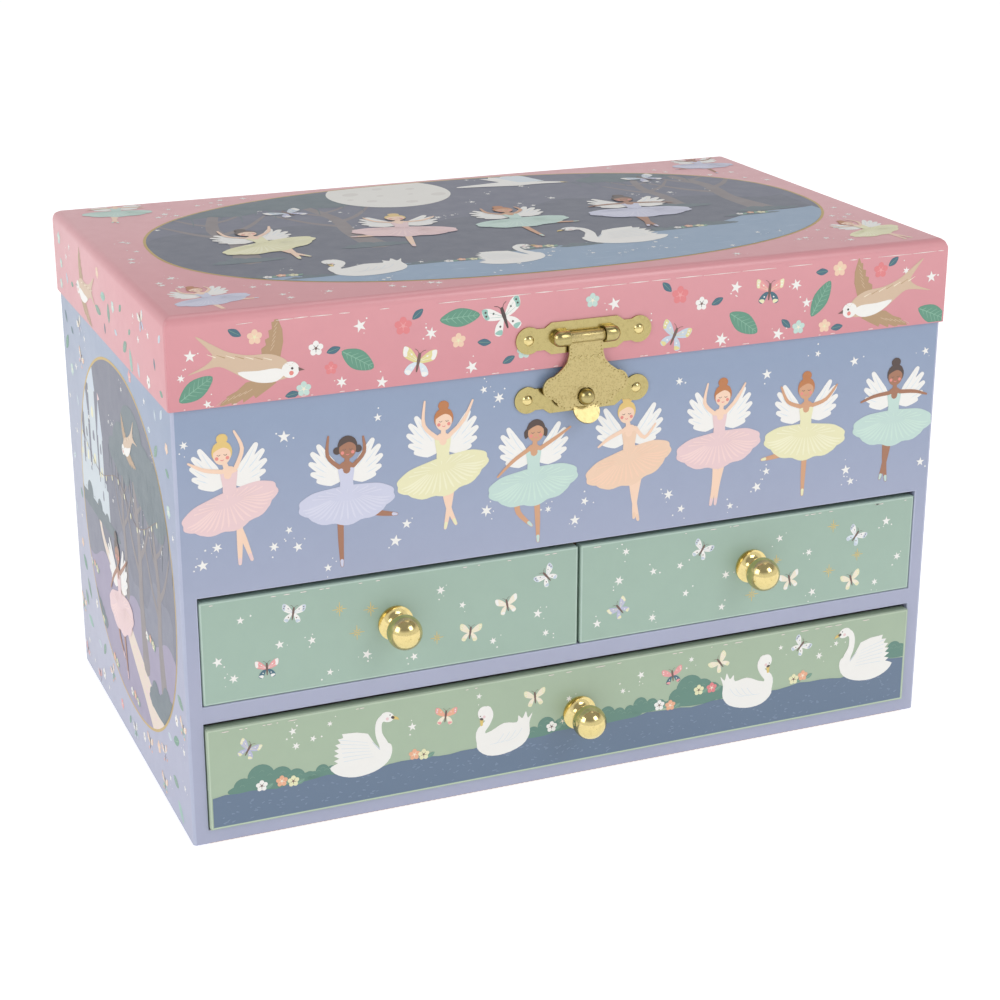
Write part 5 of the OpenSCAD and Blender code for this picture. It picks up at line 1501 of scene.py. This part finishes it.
def stuff_roll():
    """One padded roll, lying along X: a sewn tube with pressed-in ends, filled by a cloth simulation."""
    leave_all()
    middle = ((ROLL_LEFT + ROLL_RIGHT) / 2 * MM, 0, ROLL_HEIGHT * MM)
    bpy.ops.mesh.primitive_cylinder_add(vertices=40, radius=8.35 * MM, depth=(ROLL_RIGHT - ROLL_LEFT - 1.6) * MM,
        location=middle, rotation=(0, math.pi / 2, 0))
    roll = settle(bpy.context.object, "ring_roll_1")
    choose(roll, "FACE", lambda at, way: abs(way.x) > 0.9)
    bpy.ops.mesh.inset(thickness=3.0 * MM, depth=-0.8 * MM)
    leave_all()
    round_edges(roll, lambda at, way: abs(way.x) < 0.2 and (at.y**2 + (at.z - ROLL_HEIGHT) ** 2) > 60, 1.4, 3)
    worked(roll, "REMESH", mode="VOXEL", voxel_size=1.8 * MM)
    rest = [corner.co.copy() for corner in roll.data.vertices]
    take(roll)
    cloth = roll.modifiers.new("Cloth", "CLOTH")
    cloth.settings.quality = 5
    cloth.settings.use_pressure = True
    cloth.settings.uniform_pressure_force = 4
    cloth.settings.effector_weights.gravity = 0
    cloth.point_cache.frame_start, cloth.point_cache.frame_end = 1, 20
    for count in range(1, 21):
        bpy.context.scene.frame_set(count)
    bpy.ops.object.modifier_apply(modifier=cloth.name)
    bpy.context.scene.frame_set(1)
    for corner, was in zip(roll.data.vertices, rest):
        moved = corner.co - was
        if moved.length > ROLL_SWELL:
            corner.co = was + moved.normalized() * ROLL_SWELL
    worked(roll, "SMOOTH", factor=0.5, iterations=3)
    worked(roll, "SUBSURF", levels=1, render_levels=1)
    # the bought cover is gathered a little along its length: soft cross folds, deepest underneath
    for corner in roll.data.vertices:
        x, y, z = corner.co / MM
        y0, z0 = y, z - ROLL_HEIGHT
        around = math.atan2(y0, z0)
        fold = 0.10 * math.sin(x * 0.9 + 2.0 * math.sin(around * 2)) + 0.06 * math.sin(x * 2.3 + around * 3)
        far = math.hypot(y0, z0)
        want = min(far + fold * min(1, far / 6), ROLL_RADIUS + 0.1)
        share = want / far if far > 1e-6 else 1
        corner.co = Vector((min(max(x, ROLL_LEFT + 0.1), ROLL_RIGHT - 0.1), y0 * share,
            max(z0 * share, -8.95) + ROLL_HEIGHT)) * MM
    return smooth(roll)


def lay_rolls():
    first = stuff_roll()
    middles = (-5.2, 13.2, 31.6, 50.0, 68.4)
    rolls = [first] + [copied(first, f"ring_roll_{n}", (0, y, 0)) for n, y in enumerate(middles[1:], 2)]
    first.location.y = middles[0] * MM
    settle(first)
    for n, (roll, y) in enumerate(zip(rolls, middles), 1):
        place_on(roll, "case", "roll_fabric", FINISH["roll_fabric"])
        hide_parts("ring_rolls")
        ends = []
        for x in (ROLL_LEFT + 0.75, ROLL_RIGHT - 0.75):
            leave_all()
            bpy.ops.mesh.primitive_torus_add(major_radius=7.7 * MM, minor_radius=0.45 * MM, major_segments=40,
                minor_segments=8, location=(x * MM, y * MM, ROLL_HEIGHT * MM), rotation=(0, math.pi / 2, 0))
            ends.append(settle(bpy.context.object))
        piping = smooth(joined(f"roll_piping_{n}", ends))
        place_on(piping, "case", "roll_fabric", FINISH["piping"])


# ---------------------------------------------------------------- the dancer on her spring
DANCER_Y = 12.0


def limb(name, points, radii):
    """A rounded limb through the points, in millimetres from the dancer's own axis."""
    line = bpy.data.curves.new(name, "CURVE")
    line.dimensions, line.bevel_depth, line.bevel_resolution, line.use_fill_caps = "3D", MM, 5, True
    way = line.splines.new("NURBS")
    way.points.add(len(points) - 1)
    for point, (x, y, z), radius in zip(way.points, points, radii):
        point.co, point.radius = (x * MM, (y + DANCER_Y) * MM, z * MM, 1), radius
    way.use_endpoint_u, way.order_u, way.resolution_u = True, 3, 8
    piece = bpy.data.objects.new(name, line)
    bpy.context.collection.objects.link(piece)
    take(piece)
    bpy.ops.object.convert(target="MESH")
    return settle(bpy.context.object, name)


def ball(name, at, radii, turn=(0, 0, 0), rings=16):
    leave_all()
    x, y, z = at
    bpy.ops.mesh.primitive_uv_sphere_add(segments=rings * 2, ring_count=rings, radius=MM,
        location=(x * MM, (y + DANCER_Y) * MM, z * MM), rotation=turn)
    bpy.context.object.scale = radii
    return settle(bpy.context.object, name)


def make_dancer():
    """A small moulded dancer on pointe, arms in a ring over her head; a plain doll's face."""
    parts = [
        limb("trunk", [(0, 0, 148.8), (0, 0, 150.8), (0, 0.1, 153.6), (0, -0.1, 156.6), (0, 0, 158.8),
        (0, 0.1, 160.4)], [2.5, 2.5, 1.6, 2.1, 2.1, 1.2]),
        limb("neck", [(0, 0.15, 159.6), (0, 0.1, 162.4), (0, 0, 164.6)], [1.1, 0.85, 0.95]),
        ball("head", (0, -0.05, 166.3), (2.25, 2.45, 2.75)),
        ball("chin", (0, -0.8, 164.5), (1.15, 1.25, 0.95), rings=10),
        ball("nose", (0, -2.45, 166.0), (0.28, 0.4, 0.34), rings=8),
    ]
    for side in (1, -1):
        parts += [
            limb("leg", [(side * 1.2, 0, 150.0), (side * 1.15, -0.2, 146.0), (side * 0.85, -0.15, 142.2),
            (side * 0.8, 0.35, 139.2), (side * 0.62, 0.1, 136.2), (side * 0.55, -0.25, 133.3)],
            [1.5, 1.35, 0.95, 1.0, 0.58, 0.5]),
            limb("arm", [(side * 2.0, 0, 159.6), (side * 3.3, -0.1, 160.0), (side * 6.3, -0.3, 163.6),
            (side * 6.9, -0.3, 167.6), (side * 4.3, -0.5, 171.6), (side * 1.5, -0.7, 173.1)],
            [1.0, 0.85, 0.68, 0.6, 0.46, 0.4]),
            ball("hand", (side * 1.3, -0.7, 173.15), (0.85, 0.36, 0.42), (0, side * 0.25, 0), 8),
            ball("breast", (side * 0.95, -1.1, 157.6), (1.0, 0.9, 1.0), rings=10),
        ]
    body = joined("dancer_doll", parts)
    worked(body, "REMESH", mode="VOXEL", voxel_size=0.2 * MM)
    worked(body, "SMOOTH", factor=0.6, iterations=5)
    smooth(body)
    place_on(body, "dancer", "skin", FINISH["skin"])
    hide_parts("dancer_figure")

    foot = ball("dancer_foot_disc", (0, 0, 132.7), (3.2, 3.2, 0.5), rings=14)
    choose(foot, "VERT", lambda at, way: at.z < 132.3)
    leave_all()
    place_on(foot, "dancer", "skin", FINISH["satin"])

    bodice = limb("dancer_bodice", [(0, 0, 149.6), (0, 0, 151.2), (0, 0.1, 153.7), (0, -0.15, 156.8),
        (0, -0.1, 158.9)], [2.85, 2.75, 1.86, 2.42, 2.15])
    straps = [limb("strap", [(side * 1.3, -1.75, 158.0), (side * 1.55, -1.2, 159.6), (side * 1.6, 0, 160.5),
        (side * 1.5, 1.1, 159.6), (side * 1.2, 1.6, 158.2)], [0.26] * 5) for side in (1, -1)]
    sash = limb("sash", [(0, 0, 152.9), (0, 0, 153.3)], [2.06, 2.0])
    busts = [ball("bust", (side * 0.95, -1.25, 157.5), (1.15, 0.98, 1.1), rings=10) for side in (1, -1)]
    bodice = joined("dancer_bodice", [bodice, sash] + straps + busts)
    worked(bodice, "REMESH", mode="VOXEL", voxel_size=0.2 * MM)
    worked(bodice, "SMOOTH", factor=0.5, iterations=3)
    place_on(smooth(bodice), "dancer", "skin", FINISH["satin"])

    shoes = []
    for side in (1, -1):
        shoes.append(limb("shoe", [(side * 0.62, 0.12, 136.4), (side * 0.6, 0.0, 135.2),
            (side * 0.55, -0.22, 133.25)], [0.68, 0.68, 0.62]))
        for k in range(3):
            shoes.append(limb("ribbon", [(side * 0.62 + 0.8 * math.cos(a) * (1 + 0.03 * k), 0.2 + 0.8 * math.sin(a),
                136.9 + 0.75 * k + 0.3 * math.sin(a)) for a in [math.tau * j / 12 for j in range(13)]], [0.1] * 13))
    place_on(smooth(joined("dancer_shoes", shoes)), "dancer", "skin", FINISH["satin"])

    cap = ball("dancer_hair", (0, 0.22, 166.75), (2.48, 2.55, 2.72), rings=24)
    cut_away(cap, lambda at, way: (at.y - DANCER_Y) < -0.5 - (168.1 - at.z) * 0.55 and at.z < 168.55 or at.z < 164.8,
        "VERT")
    worked(cap, "SOLIDIFY", thickness=0.25 * MM, offset=-1)
    bun = ball("bun", (0, 0.75, 169.7), (1.45, 1.45, 1.2), rings=18)
    for corner in bun.data.vertices:
        x, y, z = corner.co.x / MM, corner.co.y / MM - DANCER_Y - 0.75, corner.co.z / MM - 169.7
        coil = 1 + 0.07 * math.sin(3 * math.atan2(y, x) + z * 5)
        corner.co = Vector((x * coil, y * coil + DANCER_Y + 0.75,
            z * (1 + 0.04 * math.sin(6 * math.atan2(y, x))) + 169.7)) * MM
    leave_all()
    bpy.ops.mesh.primitive_torus_add(major_radius=1.18 * MM, minor_radius=0.2 * MM, major_segments=32,
        minor_segments=8, location=(0, (DANCER_Y + 0.7) * MM, 168.95 * MM))
    band = settle(bpy.context.object)
    place_on(smooth(joined("dancer_hair", [cap, bun])), "dancer", "skin", FINISH["hair"])
    place_on(smooth(band), "dancer", "skin", FINISH["satin"])
    band.name = band.data.name = "dancer_hair_ribbon"

    lashes = []
    for side in (1, -1):
        lashes.append(limb("lid_line", [(side * 0.5, -2.33, 166.55), (side * 0.88, -2.36, 166.36),
            (side * 1.28, -2.1, 166.52)], [0.085, 0.11, 0.07]))
        lashes.append(limb("brow", [(side * 0.45, -2.25, 167.35), (side * 0.85, -2.2, 167.55),
            (side * 1.3, -1.95, 167.4)], [0.05, 0.07, 0.04]))
    place_on(smooth(joined("dancer_eyes", lashes)), "dancer", "skin", FINISH["hair"])
    lips = [limb("lips", [(-0.42, -2.2, 165.02), (0, -2.38, 165.0), (0.42, -2.2, 165.02)], [0.08, 0.17, 0.08])]
    place_on(smooth(joined("dancer_lips", lips)), "dancer", "skin", FINISH["rouge"])


def gather_tutu():
    """Three rounds of tulle, gathered at the waist so that their rims frill."""
    corners, faces, places = [], [], []
    around, steps = 168, 9
    for layer, (height, tilt, beat, shift) in enumerate(((150.15, -0.035, 17, 0.0), (151.15, 0.0, 19, 1.1),
        (152.05, 0.03, 21, 2.3))):
        start = len(corners)
        for j in range(steps + 1):
            share = j / steps
            radius = 2.95 + 6.85 * share
            for i in range(around):
                a = math.tau * i / around
                frill = (0.12 + 0.42 * share**1.4) * math.sin(beat * a + shift) * min(1, share * 3)
                out = radius * (1 + 0.012 * math.sin(2 * beat * a + shift) * share)
                corners.append((out * math.cos(a) * MM, (out * math.sin(a) + DANCER_Y) * MM,
                    (height + tilt * radius + frill) * MM))
                places.append((i / around * 4.0, share * 0.45 + layer))
        for j in range(steps):
            for i in range(around):
                a, b = start + j * around + i, start + j * around + (i + 1) % around
                faces.append((a, b, b + around, a + around))
    shape = bpy.data.meshes.new("dancer_tutu_tulle")
    shape.from_pydata(corners, [], faces)
    uv = shape.uv_layers.new(name="cut")
    for polygon in shape.polygons:
        last = polygon.index % around == around - 1
        for loop in polygon.loop_indices:
            u, v = places[shape.loops[loop].vertex_index]
            uv.data[loop].uv = (u + 4.0 if last and u < 1 else u, v)
    tutu = bpy.data.objects.new("dancer_tulle", shape)
    bpy.context.collection.objects.link(tutu)
    smooth(tutu)
    place_on(tutu, "dancer", "tulle", FINISH["tulle"])
    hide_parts("dancer_tutu")


chase_flap()
lay_felt()
lay_rolls()
make_dancer()
gather_tutu()


# ---------------------------------------------------------------- floor, light and camera
def lay_floor():
    leave_all()
    bpy.ops.mesh.primitive_plane_add(size=14, location=(0, 0, -0.0002))
    floor = settle(bpy.context.object, "floor")
    made, _, shader, _ = material("pale_floor", 0.9, Specular_IOR_Level=0.1, Emission_Color=(1, 1, 1, 1),
        Emission_Strength=0.58)
    shader.inputs["Base Color"].default_value = (0.85, 0.85, 0.85, 1)
    finish_with(floor, made)


def soft_light(name, at, size, power, aim=(0, 0, 0.09), colour=(1, 1, 1)):
    light = bpy.data.lights.new(name, "AREA")
    light.shape, light.size, light.size_y, light.energy, light.color = "RECTANGLE", size[0], size[1], power, colour
    lamp = bpy.data.objects.new(name, light)
    lamp.location = at
    lamp.rotation_euler = (Vector(aim) - Vector(at)).to_track_quat("-Z", "Y").to_euler()
    bpy.context.collection.objects.link(lamp)


def light_studio():
    world = bpy.data.worlds.new("studio")
    bpy.context.scene.world = world
    world.use_nodes = True
    tree = world.node_tree
    for old in list(tree.nodes):
        tree.nodes.remove(old)
    way = node(tree, "TexCoord").outputs["Generated"]
    height = node(tree, "SeparateXYZ", {0: way}).outputs["Z"]
    glow = ramp(tree, height, (0.0, (1.0, 1.0, 1.0, 1)), (0.3, (1.0, 1.0, 1.0, 1)), (0.55, (0.36, 0.36, 0.36, 1)),
        (1.0, (0.42, 0.42, 0.42, 1)))
    back = node(tree, "Background", {"Color": glow}, values={"Strength": 0.94})
    out = tree.nodes.new("ShaderNodeOutputWorld")
    tree.links.new(back.outputs[0], out.inputs["Surface"])
    soft_light("key_light", (0.9, -1.5, 1.5), (0.9, 0.9), 10)
    soft_light("side_light", (-1.7, -0.5, 1.1), (1.0, 1.0), 9)
    soft_light("top_light", (0.2, 0.5, 1.9), (1.4, 0.9), 5)


def place_camera():
    data = bpy.data.cameras.new("camera")
    data.lens, data.sensor_width = 77.4, 36.0
    data.dof.use_dof = False
    camera = bpy.data.objects.new("camera", data)
    camera.location = (-0.2892, -0.7092, 0.3533)
    camera.rotation_euler = Vector((0.3601, 0.8685, -0.3407)).to_track_quat("-Z", "Y").to_euler()
    bpy.context.collection.objects.link(camera)
    bpy.context.scene.camera = camera


lay_floor()
light_studio()
place_camera()
bpy.context.scene.view_settings.view_transform = "Standard"
leave_all()
